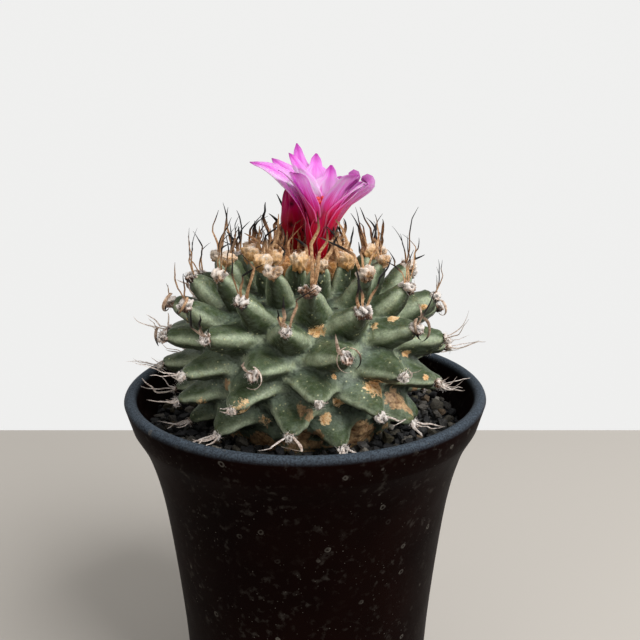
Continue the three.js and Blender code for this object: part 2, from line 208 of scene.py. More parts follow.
# Fired glaze is glass: an even sheen, with a painted warm reflection in patches and a painted bluish
# highlight along the lip
warm_reflection = add(tree, "TexNoise", {"Vector": place, "Scale": 1 / WARM_REFLECTION_PATCH, "Detail": 3})
height = add(tree, "SeparateXYZ", [place], output=2)
peel = add(tree, "TexNoise", {"Vector": place, "Scale": 1 / PEEL_GRAIN, "Detail": 2, "Roughness": 0.6})
# A painted highlight along the crest of the lip, broken up by the orange peel
lip_highlight = add(tree, "Math", [
    add(tree, "MapRange", [height, RIM_PLANE - 0.4, RIM_PLANE + 1.7, 0, 1], interpolation_type="SMOOTHSTEP"),
    add(tree, "MapRange", [peel, 0.38, 0.62, 0.4, 1]),
], operation="MULTIPLY")
# Pinholes show as pale dots, and dried drops as faint rings and smudges
speckled = add(tree, "TexVoronoi", {"Vector": place, "Scale": 1 / SPECK_SPACING})
specks = add(tree, "MapRange", [speckled, 0.05, 0.11, 0.85, 0])
wobble = add(tree, "TexNoise", {"Vector": place, "Scale": 1 / RING_WOBBLE, "Detail": 2}, output=1)
wobble = add(tree, "VectorMath", [wobble, (0.9, 0.9, 0.9)], operation="MULTIPLY")
bent_place = add(tree, "VectorMath", [place, wobble], operation="ADD")
from_drop = add(tree, "TexVoronoi", {"Vector": bent_place, "Scale": 1 / RING_SPACING})
from_ring = add(tree, "Math", [from_drop, RING_RADIUS / RING_SPACING], operation="SUBTRACT")
from_ring = add(tree, "Math", [from_ring], operation="ABSOLUTE")
rings = add(tree, "MapRange", [from_ring, 0.012, 0.04, 0.6, 0])
smudge = add(tree, "TexNoise", {"Vector": place, "Scale": 1 / SMUDGE_WIDTH, "Detail": 4})
smudges = add(tree, "MapRange", [smudge, 0.56, 0.76, 0, 0.22])
patches = add(tree, "TexNoise", {"Vector": place, "Scale": 1 / MARKED_PATCH, "Detail": 2})
marks_shown = add(tree, "MapRange", [patches, 0.42, 0.62, 0.12, 1])
dirt = specks
for other, how in ((rings, "MAXIMUM"), (smudges, "MAXIMUM"), (marks_shown, "MULTIPLY")):
    dirt = add(tree, "Math", [dirt, other], operation=how)
pot_colour = GLAZE_BLACK
for share, colour in ((warm_reflection, GLAZE_WARM_REFLECTION), (lip_highlight, GLAZE_LIP_HIGHLIGHT), (dirt, GLAZE_BLOOM)):
    pot_colour = add(tree, "MixRGB", [share, pot_colour, colour])
swell = add(tree, "TexNoise", {"Vector": place, "Scale": 1 / SWELL_WIDTH, "Detail": 1})
fine_relief = add(tree, "Math", [peel, 0.11], operation="MULTIPLY")
relief = add(tree, "Math", [swell, 1.2, fine_relief], operation="MULTIPLY_ADD")
add(tree, "OutputMaterial", [add(tree, "BsdfPrincipled", {
    "Base Color": pot_colour, "Roughness": add(tree, "MapRange", [dirt, 0, 1, 0.42, 0.85]),
    "Normal": add(tree, "Bump", {"Height": relief, "Strength": 1, "Distance": 0.0003}),
    "IOR": 1.2, "Specular IOR Level": 0.04,
})])

make_piece("pot_glazed", pot_points, pot_faces, glaze, ["pot"])


# Gravel
# Crushed black lava, sieved to 1 to 6 mm and poured in loose to 8 mm below the lip.
# A packed bed fills the pot, and the grains that show lie on it one by one.

SOIL_TOP = -8.2
BED_DEPTH = 1.9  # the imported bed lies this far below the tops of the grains
GRAVEL_INSIDE = 21
GRAIN_SIZES = (1.6, 5.6)
SMALL_GRAIN_SIZES = (1.4, 3.2)
GRAINS_TRIED = 700  # in each of the two layers
STONE_SHAPES = 28
ROOT_OUTLINE = [(0, -62), (3.5, -58), (9, -43), (16, -28), (21, -17)]
BODY_OUTLINE = [(24.5, -9), (28, 1), (29, 12), (27, 21), (21.5, 28), (13, 31), (6, 31), (0, 30.5)]
RED_STONE = (-29, -35.5)  # the grain nearest to here is a red one
RED_TINT = 0.995
LAVA_STONES = [
    (0.0, "#121214"), (0.2, "#1e1e1f"), (0.38, "#2b2a29"), (0.55, "#3a3836"), (0.68, "#49453f"),
    (0.77, "#37332a"), (0.84, "#4d4736"), (0.9, "#5a4a38"), (0.94, "#5f5a52"), (0.97, "#8a857b"),
    (0.99, "#7d2f28"),
]

rng = np.random.default_rng(11)


def crushed_stone():
    """Points and triangles of one broken grain about 1 mm across."""
    stone = bmesh.new()
    directions = unit(rng.normal(size=(15, 3)))
    for direction in directions * rng.uniform(0.4, 0.52, (15, 1)) * (1, 0.82, 0.66):
        stone.verts.new(direction)
    bmesh.ops.convex_hull(stone, input=stone.verts)
    bmesh.ops.delete(stone, geom=[v for v in stone.verts if not v.link_faces], context="VERTS")
    bmesh.ops.subdivide_edges(stone, edges=stone.edges, cuts=1, use_grid_fill=True)
    bmesh.ops.triangulate(stone, faces=stone.faces)
    points, triangles = taken_from(stone)
    return points * (1 + rng.uniform(-0.09, 0.05, (len(points), 1))), triangles


def taken_from(made):
    """Points and triangles of a mesh in the making, which is then let go."""
    made.verts.index_update()
    points = np.array([v.co for v in made.verts])
    triangles = np.array([[v.index for v in face.verts] for face in made.faces])
    made.free()
    return points, triangles


def random_turns(count):
    """Random rotation matrices."""
    q = unit(rng.normal(size=(count, 4)))
    w, x, y, z = q.T
    rows = [1 - 2 * (y * y + z * z), 2 * (x * y - z * w), 2 * (x * z + y * w),
            2 * (x * y + z * w), 1 - 2 * (x * x + z * z), 2 * (y * z - x * w),
            2 * (x * z - y * w), 2 * (y * z + x * w), 1 - 2 * (x * x + y * y)]
    return np.stack(rows, axis=-1).reshape(-1, 3, 3)


def gravel_swell(x, y):
    """How far the gravel stands above or below its mean level."""
    return 0.5 * np.sin(x / 9 + 1.3) * np.cos(y / 11 + 0.4) + 0.35 * np.sin(x / 4.1 - y / 5.3)


def spread_grains(sizes, spacing, outer):
    """Places for grains in the ring between root and wall, the largest first, none on another."""
    placed = np.empty((0, 3))
    for size in sorted(sizes, reverse=True):
        for _ in range(14):
            radius = math.sqrt(rng.uniform(GRAVEL_INSIDE ** 2, (outer - size * 0.4) ** 2))
            angle = rng.uniform(0, 2 * np.pi)
            x, y = radius * math.cos(angle), radius * math.sin(angle)
            gap = np.hypot(placed[:, 0] - x, placed[:, 1] - y) - spacing * (placed[:, 2] + size)
            if not len(placed) or gap.min() > 0:
                placed = np.vstack([placed, [x, y, size]])
                break
    return placed


soil_top = RIM_PLANE + SOIL_TOP
wall_inside = np.interp(soil_top, inside[::-1, 1], inside[::-1, 0])
stones = [crushed_stone() for _ in range(STONE_SHAPES)]
upper_sizes = rng.beta(1.3, 2.6, GRAINS_TRIED) * (GRAIN_SIZES[1] - GRAIN_SIZES[0]) + GRAIN_SIZES[0]
upper = spread_grains(upper_sizes, 0.44, wall_inside)
lower = spread_grains(rng.uniform(*SMALL_GRAIN_SIZES, GRAINS_TRIED), 0.4, wall_inside)
grains = np.vstack([upper, lower])
levels = np.repeat([-0.35, -1.35], [len(upper), len(lower)])
levels += 0.25 * rng.normal(size=len(grains)) - 0.12 * (grains[:, 2] - 2)
levels += gravel_swell(grains[:, 0], grains[:, 1]) + soil_top

bed_top = soil_top - BED_DEPTH
wall_side = inside[inside[:, 1] < bed_top][::-1] - (0.3, 0)
root_side = curve_through(ROOT_OUTLINE + BODY_OUTLINE[:2], 40)
root_side = root_side[(root_side[:, 0] > 1.5) & (root_side[:, 1] < SOIL_TOP - BED_DEPTH)] + (0.4, RIM_PLANE)
top_radii = np.linspace(wall_side[-1][0] + 0.4, root_side[-1][0], 22)
bed_profile = np.vstack([
    [(2, POT_FLOOR + 0.3), (wall_side[0][0] - 2, POT_FLOOR + 0.3)], wall_side,
    np.stack([top_radii, np.full(22, bed_top)], axis=1), root_side[::-1],
])
bed_points, bed_faces = turned(bed_profile, 120)
on_top = np.abs(bed_points[:, 2] - bed_top) < 0.01
bed_points[on_top, 2] += 0.35 * rng.normal(size=on_top.sum()) + gravel_swell(*bed_points[on_top, :2].T)

points, faces, tints = [bed_points], [bed_faces], [np.zeros(len(bed_points))]
count = len(bed_points)
for (x, y, size), level, spin in zip(grains, levels, random_turns(len(grains))):
    stone_points, stone_faces = stones[rng.integers(len(stones))]
    spun = stone_points @ spin.T * size * (1, 1, 0.85) * 1.25
    reach = math.hypot(x, y) + np.abs(spun[:, :2]).max() - wall_inside
    pull = 1 - max(reach, 0) / max(math.hypot(x, y), 1)
    points.append(spun + (x * pull, y * pull, level))
    faces.append(stone_faces + count)
    tint = rng.uniform(0.01, 0.965) if rng.uniform() < 0.965 else rng.uniform(0.965, 0.985)
    tints.append(np.full(len(spun), tint))
    count += len(spun)
tints[1 + int(np.argmin(np.hypot(*(grains[:, :2] - RED_STONE).T)))][:] = RED_TINT

lava, tree, place = new_finish("crushed_black_lava")
# Lava is dull and full of pores, each grain of its own dark grey or brown
tint = add(tree, "Attribute", output="Fac", attribute_name="tint")
stone_colour = add(tree, "ValToRGB", [tint], interpolation="CONSTANT", stops=LAVA_STONES)
grit = add(tree, "TexNoise", {"Vector": place, "Scale": 1 / 0.5, "Detail": 4, "Roughness": 0.65})
grit_shade = add(tree, "MapRange", [grit, 0.3, 0.75, 0.35, 2.1])
pores = add(tree, "TexVoronoi", {"Vector": place, "Scale": 1 / 0.42}, feature="SMOOTH_F1")
pore_relief = add(tree, "Math", [pores, grit], operation="ADD")
add(tree, "OutputMaterial", [add(tree, "BsdfPrincipled", {
    "Base Color": add(tree, "MixRGB", [1, stone_colour, grit_shade], blend_type="MULTIPLY"),
    "Roughness": 0.78,
    "Normal": add(tree, "Bump", {"Height": pore_relief, "Strength": 0.9, "Distance": 0.0002}), "IOR": 1.5,
})])

make_piece("lava_gravel", np.vstack(points), [face for part in faces for face in part], lava,
           ["soil"], crease=38, marks={"tint": np.concatenate(tints)})


# Stem
# A flattened globe on a turnip-like root, grown all over with tubercles on one spiral. The skin
# is waxy grey-green, paler in the valleys, and its oldest tubercles wither flat above the gravel.

FIRST_TUBERCLE = 10
LAST_TUBERCLE = 92
LAST_WITHERED = 106  # shrunken ones below the last sound tubercle
DIVERGENCE = 137.688
SPIRAL_START = 135.3
SPREAD = 1.483
SPREAD_POWER = 0.979
TIP_RADIUS = 42.55
TIP_CENTRE = 11.7
TIP_RISE = 35.2
TIP_FALL = 26.4
TIP_SQUARENESS = 0.959
CROWN_DIP = 6
CROWN_DIP_RADIUS = 11
LOW_DROOP = 2.6  # the lowest rows sag down to the gravel
TUBERCLE_LENGTH = 23
TUBERCLE_WIDTH = 14.5
TUBERCLE_HEIGHT = 10.5
TUBERCLE_ARCH = 1.2  # how far its middle line rises towards its root
TUBERCLE_ROLL = 26  # degrees between the furthest rolled ones
# How wide and how high a tubercle is along its length, from the tip back: a finger on the upper
# stem, and a flat wedge on the lower
GIRTH_BACK = [0.05, 0.12, 0.2, 0.3, 0.42, 0.6, 1.0]
FINGER_WIDE = [0.32, 0.42, 0.54, 0.66, 0.77, 0.86, 0.86]
FINGER_HIGH = [0.46, 0.55, 0.64, 0.72, 0.78, 0.8, 0.76]
WEDGE_WIDE = [0.22, 0.34, 0.47, 0.64, 0.84, 1.06, 1.15]
WEDGE_HIGH = [0.34, 0.4, 0.46, 0.53, 0.6, 0.66, 0.66]
TUBERCLE_FORMS = ((FINGER_WIDE, WEDGE_WIDE, TUBERCLE_WIDTH), (FINGER_HIGH, WEDGE_HIGH, TUBERCLE_HEIGHT))
BLUNT_END = 0.05  # the green ends here, and the wool tuft takes up the rest
YOUNG_BLUNT_END = 0.22

UPWARD = np.array([0, 0, 1.0])
SKIN_STEP = 0.6  # spacing of the lattice that the skin is drawn from
SKIN_BOX = np.array([[-54.0, -54.0, -63.5], [54.0, 54.0, 48.0]])  # corners of the lattice
SKIN_BAND = 4.0  # further from the skin, distances don't count
SKIN_THINNING = 0.006
SKIN_REACH = 15  # half the side of the block of lattice that one tubercle fills
SKIN_GREEN = "#435130"
# Pale tone in random clouds, and the painted highlight on the ridges
SKIN_PALE_AND_HIGHLIGHT = "#a4af91"
SKIN_YELLOW = "#87834f"
# Painted shade below the tubercles
SKIN_UNDER_SHADE = "#1d1e04"
SKIN_VALLEY = "#6f7d6e"
# Painted shade in the creases
SKIN_CREASE_SHADE = "#1b2113"
SKIN_DOT = "#cfce9f"
CORK = "#dda05f"
CORK_PALE = "#f2d3a4"
CORK_DARK = "#8a5730"
WITHERED = "#c8a67c"
WITHERED_DARK = "#6a492d"
# Corky scars and papery dead skin: heading in degrees, distance from the axis, height, reach, and
# how papery it is
SCARS = [
    (-103, 25.5, 27, 1.4, 0), (-82, 27, 25, 2.9, 0), (-44, 32, 27, 1.9, 0), (-51, 29.5, 24.5, 1.4, 0),
    (-29, 31.5, 15.5, 1.9, 0), (-76, 31.5, 13.5, 1, 0), (-58, 33.5, 10, 4.3, 0.1), (-72, 30.5, 7, 2.4, 0),
    (-80, 31.5, 2.5, 2.1, 0), (-34, 39, 10.5, 1.2, 0), (-16, 34, 27, 1.3, 0), (-112, 39.5, 8, 3.4, 0.35),
    (-42, 33.5, 5, 4, 0.9), (-38, 36.5, 3, 2.8, 0.8), (-88, 33.5, 5, 3.8, 0.7), (-109, 29.5, 1, 2.6, 0.4),
    (-128, 31.5, 9.5, 3.2, 0.8), (-141, 35, 4, 1.9, 0.3), (-59, 27, -4.5, 6, 1), (-92, 28, -3, 4, 1),
    (-117, 27, -7, 3.6, 0.8), (-80, 30, -2, 3.4, 0.9),
]
MORE_SCARS = 34  # on the sides and the back


def chance(n, kind):
    """A fixed draw from 0 to 1 for tubercle n, the same as the frame's."""
    wave = np.sin(n * 12.9898 + kind * 78.233) * 43758.5453
    return wave - np.floor(wave)


def tubercle_frames(n):
    """Tip, direction, up, across and size of each numbered tubercle."""
    turn = np.radians(SPREAD * n ** SPREAD_POWER)
    radius = TIP_RADIUS * np.sin(turn) ** TIP_SQUARENESS
    lift = np.sign(np.cos(turn)) * np.abs(np.cos(turn)) ** TIP_SQUARENESS
    dip = CROWN_DIP * np.exp(-((radius / CROWN_DIP_RADIUS) ** 2))
    height = TIP_CENTRE + lift * np.where(lift > 0, TIP_RISE, TIP_FALL) - dip
    height = height - LOW_DROOP * np.clip((n - 74) / 12, 0, 1)
    around = np.radians(SPIRAL_START + DIVERGENCE * n + (chance(n, 1) - 0.5) * 3)
    slope = np.radians(np.maximum(80 * np.cos(1.12 * turn), -0.6 * (np.degrees(turn) - 80)))
    slope = slope + (chance(n, 2) - 0.5) * 0.14
    out = np.stack([np.cos(around), np.sin(around), np.zeros(len(n))], axis=1)
    lean = np.cos(slope)[:, None], np.sin(slope)[:, None]
    along, up = out * lean[0] + UPWARD * lean[1], UPWARD * lean[0] - out * lean[1]
    size = np.clip(0.5 + 0.5 * (n - FIRST_TUBERCLE) / 36, 0.5, 1)
    return out * radius[:, None] + UPWARD * height[:, None], along, up, np.cross(along, up), size


def tubercle_blunt(size):
    """Where the green ends, as a share back from the tip: earlier on the young tubercles of the crown."""
    return BLUNT_END + (YOUNG_BLUNT_END - BLUNT_END) * np.clip((0.76 - size) / 0.16, 0, 1)


def in_tubercle(offset, i):
    """Place in tubercle i: share of its length back from the tip, and across and up over its girth."""
    back = -(offset * alongs[i]).sum(-1) / TUBERCLE_LENGTH
    across = (offset * rolled_sides[i]).sum(-1) - bends[i] * (1 - back) * back * 8
    rise = (offset * rolled_ups[i]).sum(-1) - TUBERCLE_ARCH * (1 - back) ** 2
    cap = np.sqrt(np.clip(1 - np.clip((tubercle_blunt(sizes[i]) + 0.09 - back) / 0.1, 0, 1) ** 2, 0.0004, 1))
    wide, high = (
        (np.interp(back, GIRTH_BACK, finger) * (1 - flats[i]) + np.interp(back, GIRTH_BACK, wedge) * flats[i])
        * cap * girths[i] * full * 0.52
        for finger, wedge, full in TUBERCLE_FORMS
    )
    return back, across, rise, wide, high


def tubercle_distance(offset, i):
    """Distance outside tubercle i, which has sharp sides, a keel below and a blunt tip, and its rise."""
    back, across, rise, wide, high = in_tubercle(offset, i)
    above = rise > 0
    side_power = np.where(above, 1.65, 1.3) - 0.1 * flats[i]
    height_power = np.where(above, 1.55, 1.25)
    ratio = (np.abs(across) / wide) ** side_power + (np.abs(rise) / high) ** height_power
    ratio **= 2 / (side_power + height_power)
    girth = (ratio - 1) * np.minimum(wide, high) * 0.9
    return np.maximum(girth, (tubercle_blunt(sizes[i]) - back) * TUBERCLE_LENGTH), rise / high


def outline_distance(outline, radius, height):
    """Signed distance to a turned outline, negative inside."""
    nearest = np.full(radius.shape, 1e3)
    within = np.zeros(radius.shape, bool)
    for (r0, z0), (r1, z1) in zip(outline, outline[1:]):
        dr, dz = r1 - r0, z1 - z0
        t = np.clip(((radius - r0) * dr + (height - z0) * dz) / (dr * dr + dz * dz), 0, 1)
        nearest = np.minimum(nearest, np.hypot(radius - r0 - t * dr, height - z0 - t * dz))
        crossing = (z0 > height) != (z1 > height)
        within ^= crossing & (radius < r0 + (height - z0) * dr / (dz or 1))
    return np.where(within, -nearest, nearest)


def merged(a, b, blend):
    """The smaller of two distances, with the seam between them filled over a blend width."""
    near = np.maximum(blend - np.abs(a - b), 0) / blend
    return np.minimum(a, b) - near * near * blend / 4


numbers = np.arange(FIRST_TUBERCLE, LAST_WITHERED + 1)
ends, alongs, ups, sides, sizes = tubercle_frames(numbers.astype(float))
withering = np.clip((numbers - LAST_TUBERCLE) / 5, 0, 1)
ends = ends - alongs * (3.5 * withering + 2.5 * (withering > 0) * chance(numbers, 19))[:, None]
roll = np.radians(TUBERCLE_ROLL) * (chance(numbers, 16) - 0.5)[:, None]
rolled_ups = ups * np.cos(roll) + sides * np.sin(roll)
rolled_sides = sides * np.cos(roll) - ups * np.sin(roll)
bends = 1.1 * (chance(numbers, 17) - 0.5)
flats = np.clip((numbers - 44) / 30, 0, 1)
girths = sizes * (0.92 + 0.18 * chance(numbers, 18)) * (1 - 0.16 * withering)

axes = [np.arange(low, high, SKIN_STEP) for low, high in SKIN_BOX.T]
radii = np.arange(0, 80, SKIN_STEP)
core_outline = curve_through(ROOT_OUTLINE + BODY_OUTLINE, 60)
core = outline_distance(core_outline, *np.meshgrid(radii, axes[2], indexing="ij"))
from_axis = np.hypot(axes[0][:, None], axes[1][None, :])
body = np.stack([np.interp(from_axis, radii, column) for column in core.T], axis=-1).astype(np.float32)
skin, first, second = body.copy(), np.full_like(body, 30), np.full_like(body, 30)
owner = np.zeros(body.shape, np.int16)
for i, n in enumerate(numbers):
    middle = ends[i] - alongs[i] * TUBERCLE_LENGTH * 0.42
    reach = (middle - SKIN_REACH, middle + SKIN_REACH)
    block = tuple(slice(*np.searchsorted(axis, span)) for axis, span in zip(axes, np.transpose(reach)))
    grid = np.meshgrid(*(axis[part] for axis, part in zip(axes, block)), indexing="ij")
    distance, rise = tubercle_distance(np.stack(grid, axis=-1) - ends[i], i)
    # It grows out of the body in a smooth slope above and a tight crease below
    slope = np.interp(n, [20, 40, 70], [2.5, 5, 7])
    rooted = merged(body[block], distance, 0.8 + (slope - 0.8) * np.clip(0.3 + rise, 0, 1))
    skin[block] = merged(skin[block], rooted, np.interp(n, [20, 45, 80], [0.4, 0.8, 1.3]))
    closer = distance < first[block]
    second[block] = np.where(closer, first[block], np.minimum(second[block], distance))
    first[block] = np.where(closer, distance, first[block])
    owner[block] = np.where(closer, i, owner[block])

lattice = openvdb.FloatGrid(SKIN_BAND)
lattice.copyFromArray(np.clip(skin, -SKIN_BAND, SKIN_BAND))
points, triangles, quads = lattice.convertToPolygons(isovalue=0.0, adaptivity=SKIN_THINNING)
points = points.astype(float)
nearest = tuple(np.clip(np.rint(points[:, k]).astype(int), 0, skin.shape[k] - 1) for k in range(3))
gap = np.clip((second - first)[nearest], 0, None)
seam = np.abs(first - body)[nearest]
beyond = first[nearest]
i = owner[nearest]
points = SKIN_BOX[0] + points * SKIN_STEP


def point_normals(points, faces):
    """The outward direction at each point of a mesh."""
    a, b, c = (points[faces[:, k]] for k in range(3))
    total = np.zeros_like(points)
    for k in range(3):
        np.add.at(total, faces[:, k], np.cross(b - a, c - a))
    return unit(total + 1e-9)


corners = np.vstack([triangles, quads[:, :3], quads[:, [0, 2, 3]]]).astype(int)
a, b, c = (points[corners[:, k]] for k in range(3))
facing = -1 if np.einsum("ij,ij->", a, np.cross(b, c)) < 0 else 1
outward = point_normals(points, corners[:, ::facing])
skin_faces = [face[::facing] for part in (triangles, quads) for face in part.tolist()]
lumps = np.array([
    0.5 * noise.noise(Vector(p) / 6) + 0.3 * noise.noise(Vector(p) / 2.7) + 0.1 * noise.noise(Vector(p) / 1.2)
    for p in points
])

_, across, rise, wide, deep = in_tubercle(points - ends[i], i)
on_core = beyond > 1.2
below_middle = np.clip(0.5 - 0.5 * rise / deep, 0, 1)
# Painted shade below the middle of each tubercle, weaker high on the stem, and some on the body
under = np.where(on_core, 0.3, below_middle * (1 - 0.3 * np.clip((points[:, 2] - 14) / 12, 0, 1)))
# Painted shade in the tight crease at the lower foot of each tubercle, and in narrow gaps between them
crease = np.maximum(np.exp(-seam / 0.5) * np.clip(4 * below_middle - 1.3, 0, 1), 0.7 * np.exp(-gap / 0.35))
valley = np.maximum(0.7 * np.exp(-gap / 0.9), np.clip((beyond + 0.6) / 2, 0, 1))
# Painted highlight along the sharp side edges of each tubercle
ridge = np.clip(np.abs(across) / wide - 0.7, 0, 0.25) * 4 * np.clip(1.2 - np.abs(rise) / deep, 0, 1)
ridge = np.where(on_core, 0, ridge)
withered = np.clip(0.9 * withering[i] + 1.2 * np.clip((-4.5 - points[:, 2]) / 4, 0, 1), 0, 1)
scars = []
for heading, r, z, reach, dry in SCARS:
    heading = math.radians(heading)
    scars.append(((r * math.cos(heading), r * math.sin(heading), z), reach, dry))
x, y, z = points.T
behind = np.nonzero((y > -8) & (z > -7) & (z < 29) & (np.hypot(x, y) > 26))[0]
for place in points[rng.choice(behind, MORE_SCARS)]:
    dry = np.clip(rng.uniform(0.6, 1.3) - (place[2] + 6) / 16, 0, 1)
    scars.append((place, rng.uniform(0.7, 2) + 1.8 * dry, dry))
scab, papery = np.zeros(len(points)), np.zeros(len(points))
for place, reach, dry in scars:
    place = points[np.argmin(((points - place) ** 2).sum(1))]
    patch = np.clip(1.6 - 1.3 * np.linalg.norm(points - place, axis=1) / reach, 0, 1)
    scab = np.maximum(scab, patch * (1 - dry))
    papery = np.maximum(papery, patch * dry)
points = points + outward * (lumps * (1 + papery) + 0.28 * scab * (1 + 2 * lumps))[:, None]
skin_marks = {
    "under": under, "valley": valley, "ridge": ridge, "crease": crease, "scab": scab, "papery": papery,
    "withered": withered,
}

waxy_skin, tree, place = new_finish("waxy_cactus_skin")
# Living skin beneath a thin wax bloom: soft sheen, grey-green, with a painted highlight on the
# ridges, painted shade below the tubercles and in the creases, and bluish in the valleys; cork is
# dull orange-brown and cracked
shown = {mark: add(tree, "Attribute", output="Fac", attribute_name=mark) for mark in skin_marks}
cloud, blotch, mottle, crust = (
    add(tree, "TexNoise", {
        "Vector": place, "Scale": 1 / width, "Detail": detail, "Roughness": rough, "Distortion": bent,
    })
    for width, detail, rough, bent in (
        (5.5, 5, 0.65, 0), (2.1, 4, 0.7, 0.6), (0.55, 4, 0.7, 0), (0.9, 5, 0.75, 0.8),
    )
)
# Pale in random clouds, plus the painted highlight on the ridges
pale_tone_and_highlight = add(tree, "Math", [shown["ridge"], 0.7, cloud], operation="MULTIPLY_ADD")
pale_tone_and_highlight = add(tree, "MapRange", [pale_tone_and_highlight, 0.48, 1.05, 0, 1])
yellowing = add(tree, "MapRange", [blotch, 0.54, 0.74, 0, 0.6])
# Painted shade below each tubercle
below = add(tree, "MapRange", [shown["under"], 0.5, 0.68, 0, 0.92], interpolation_type="SMOOTHSTEP")
hollow = add(tree, "Math", [
    add(tree, "MapRange", [shown["valley"], 0.05, 0.75, 0, 0.8], interpolation_type="SMOOTHSTEP"),
    add(tree, "MapRange", [blotch, 0.3, 0.55, 0.35, 1]),
], operation="MULTIPLY")
# Painted shade in the creases
crease_shade = add(tree, "Math", [shown["crease"], 0.95], operation="MULTIPLY")
skin_colour = SKIN_GREEN
for share, colour in (
    (pale_tone_and_highlight, SKIN_PALE_AND_HIGHLIGHT), (yellowing, SKIN_YELLOW), (below, SKIN_UNDER_SHADE), (hollow, SKIN_VALLEY),
    (crease_shade, SKIN_CREASE_SHADE),
):
    skin_colour = add(tree, "MixRGB", [share, skin_colour, colour])
mottle_shade = add(tree, "MapRange", [mottle, 0.32, 0.68, 0.7, 1.28])
skin_colour = add(tree, "MixRGB", [1, skin_colour, mottle_shade], blend_type="MULTIPLY")
dotted = add(tree, "TexVoronoi", {"Vector": place, "Scale": 1 / 1.5})
dots = add(tree, "Math", [
    add(tree, "MapRange", [dotted, 0.11, 0.19, 0.95, 0]), add(tree, "MapRange", [cloud, 0.44, 0.6, 0, 1]),
], operation="MULTIPLY")
# Dead skin browns from below; its edge is ragged
dry_colour = add(tree, "MixRGB", [add(tree, "MapRange", [blotch, 0.35, 0.62]), WITHERED_DARK, WITHERED])
dry_colour = add(tree, "MixRGB", [1, dry_colour, mottle_shade], blend_type="MULTIPLY")
dryness = add(tree, "Math", [shown["withered"], 0.6, shown["papery"]], operation="MULTIPLY_ADD")
dryness = add(tree, "Math", [blotch, 1.5, dryness], operation="MULTIPLY_ADD")
dryness = add(tree, "MapRange", [dryness, 1.3, 1.4, 0, 1])
cork_colour = add(tree, "ValToRGB", [crust], stops=[(0.33, CORK_DARK), (0.42, CORK), (0.56, CORK_PALE)])
corkiness = add(tree, "Math", [blotch, 1.5, shown["scab"]], operation="MULTIPLY_ADD")
corkiness = add(tree, "Math", [crust, 1.6, corkiness], operation="MULTIPLY_ADD")
corkiness = add(tree, "MapRange", [corkiness, 2.1, 2.22, 0, 1])
for share, colour in ((dots, SKIN_DOT), (dryness, dry_colour), (corkiness, cork_colour)):
    skin_colour = add(tree, "MixRGB", [share, skin_colour, colour])
skin_relief = mottle
for height, share in ((crust, corkiness), (blotch, 1.6), (corkiness, 1)):
    skin_relief = add(tree, "Math", [height, share, skin_relief], operation="MULTIPLY_ADD")
add(tree, "OutputMaterial", [add(tree, "BsdfPrincipled", {
    "Base Color": skin_colour, "Roughness": add(tree, "MapRange", [corkiness, 0, 1, 0.42, 0.9]),
    "Normal": add(tree, "Bump", {"Height": skin_relief, "Strength": 0.4, "Distance": 0.0004}), "IOR": 1.34,
    "Subsurface Weight": 0.08, "Subsurface Radius": (0.6, 1.0, 0.4), "Subsurface Scale": 0.001,
})])

make_piece("stem_skin", points + (0, 0, RIM_PLANE), skin_faces, waxy_skin, ["stem"],
           marks=skin_marks)


# Wool tufts
# Each tubercle ends in an areole, a pad of felted hair that its spines grow out of. Young pads
# are thick, tan below and white on top, partly painted light; old ones are thin, creased, and
# stained brown in patches. Painted shade darkens the hollows of both.

TUFT_SIZE = (2.15, 2.2, 1.8)  # half of its width, length and height
HAIRS_PER_TUFT = 64
HAIR_LENGTH = 1.15
HAIR_THICK = 0.07  # real hairs are a third of this, too fine to show
HAIR_STEPS = 5
HAIR_SIDES = 3
# Its colour reads painted light on top, youth, and painted shade in the gaps
WOOL_MARKS = ("lift", "young", "pit")  # numbers per point that its colour reads
WOOL_WHITE = "#fbf2ea"
WOOL_CREAM = "#d2b8a6"
# Stained old wool, and also the painted shade in the gaps
WOOL_BROWN = "#80583f"
WOOL_DARK_AND_SHADE = "#2e1d15"
WOOL_TAN = "#f9ca92"
WOOL_TAN_DEEP = "#d9a05c"
WOOL_BUFF = "#fde0bd"


def ball(fineness):
    """Points and triangles of an even unit ball."""
    made = bmesh.new()
    bmesh.ops.create_icosphere(made, subdivisions=fineness, radius=1)
    return taken_from(made)


def felted(points, seed, clumps=0.42):
    """How far matted hair stands out at points on a ball."""
    shift = Vector((seed * 3.7, seed * 1.9, -seed * 2.3))
    lift = []
    for p in map(Vector, points):
        broad = clumps * noise.noise(p * 1.5 + shift) + 0.12 - 0.4 * abs(noise.noise(p * 1.7 - shift)) ** 0.7
        lift.append(broad - 0.25 * abs(noise.noise(p * 5 + shift)) + 0.08 * noise.noise(p * 10 - shift))
    return np.array(lift)


def strands(paths, across, half_width, half_depth, sides=6):
    """Closed tapering strands: paths is (strand, step, 3), and across is each one's width direction."""
    count, steps = paths.shape[:2]
    along = unit(np.gradient(paths, axis=1))
    deep = unit(np.cross(across[:, None], along) + 1e-9)
    wide = np.cross(along, deep)
    angle = np.arange(sides) * 2 * np.pi / sides
    points = (paths[:, :, None]
              + wide[:, :, None] * (half_width[:, :, None] * np.cos(angle))[..., None]
              + deep[:, :, None] * (half_depth[:, :, None] * np.sin(angle))[..., None])
    first = (np.arange(count) * steps * sides)[:, None, None]
    row, side = np.meshgrid(np.arange(steps - 1) * sides, np.arange(sides), indexing="ij")
    beside = (side + 1) % sides
    walls = np.stack([row + side, row + beside, row + sides + beside, row + sides + side], axis=-1)
    faces = (first + walls.reshape(1, -1, 4)).reshape(-1, 4).tolist()
    for start in first.ravel():
        faces.append([start + k for k in range(sides)][::-1])
        faces.append([start + (steps - 1) * sides + k for k in range(sides)])
    return points.reshape(-1, 3), faces


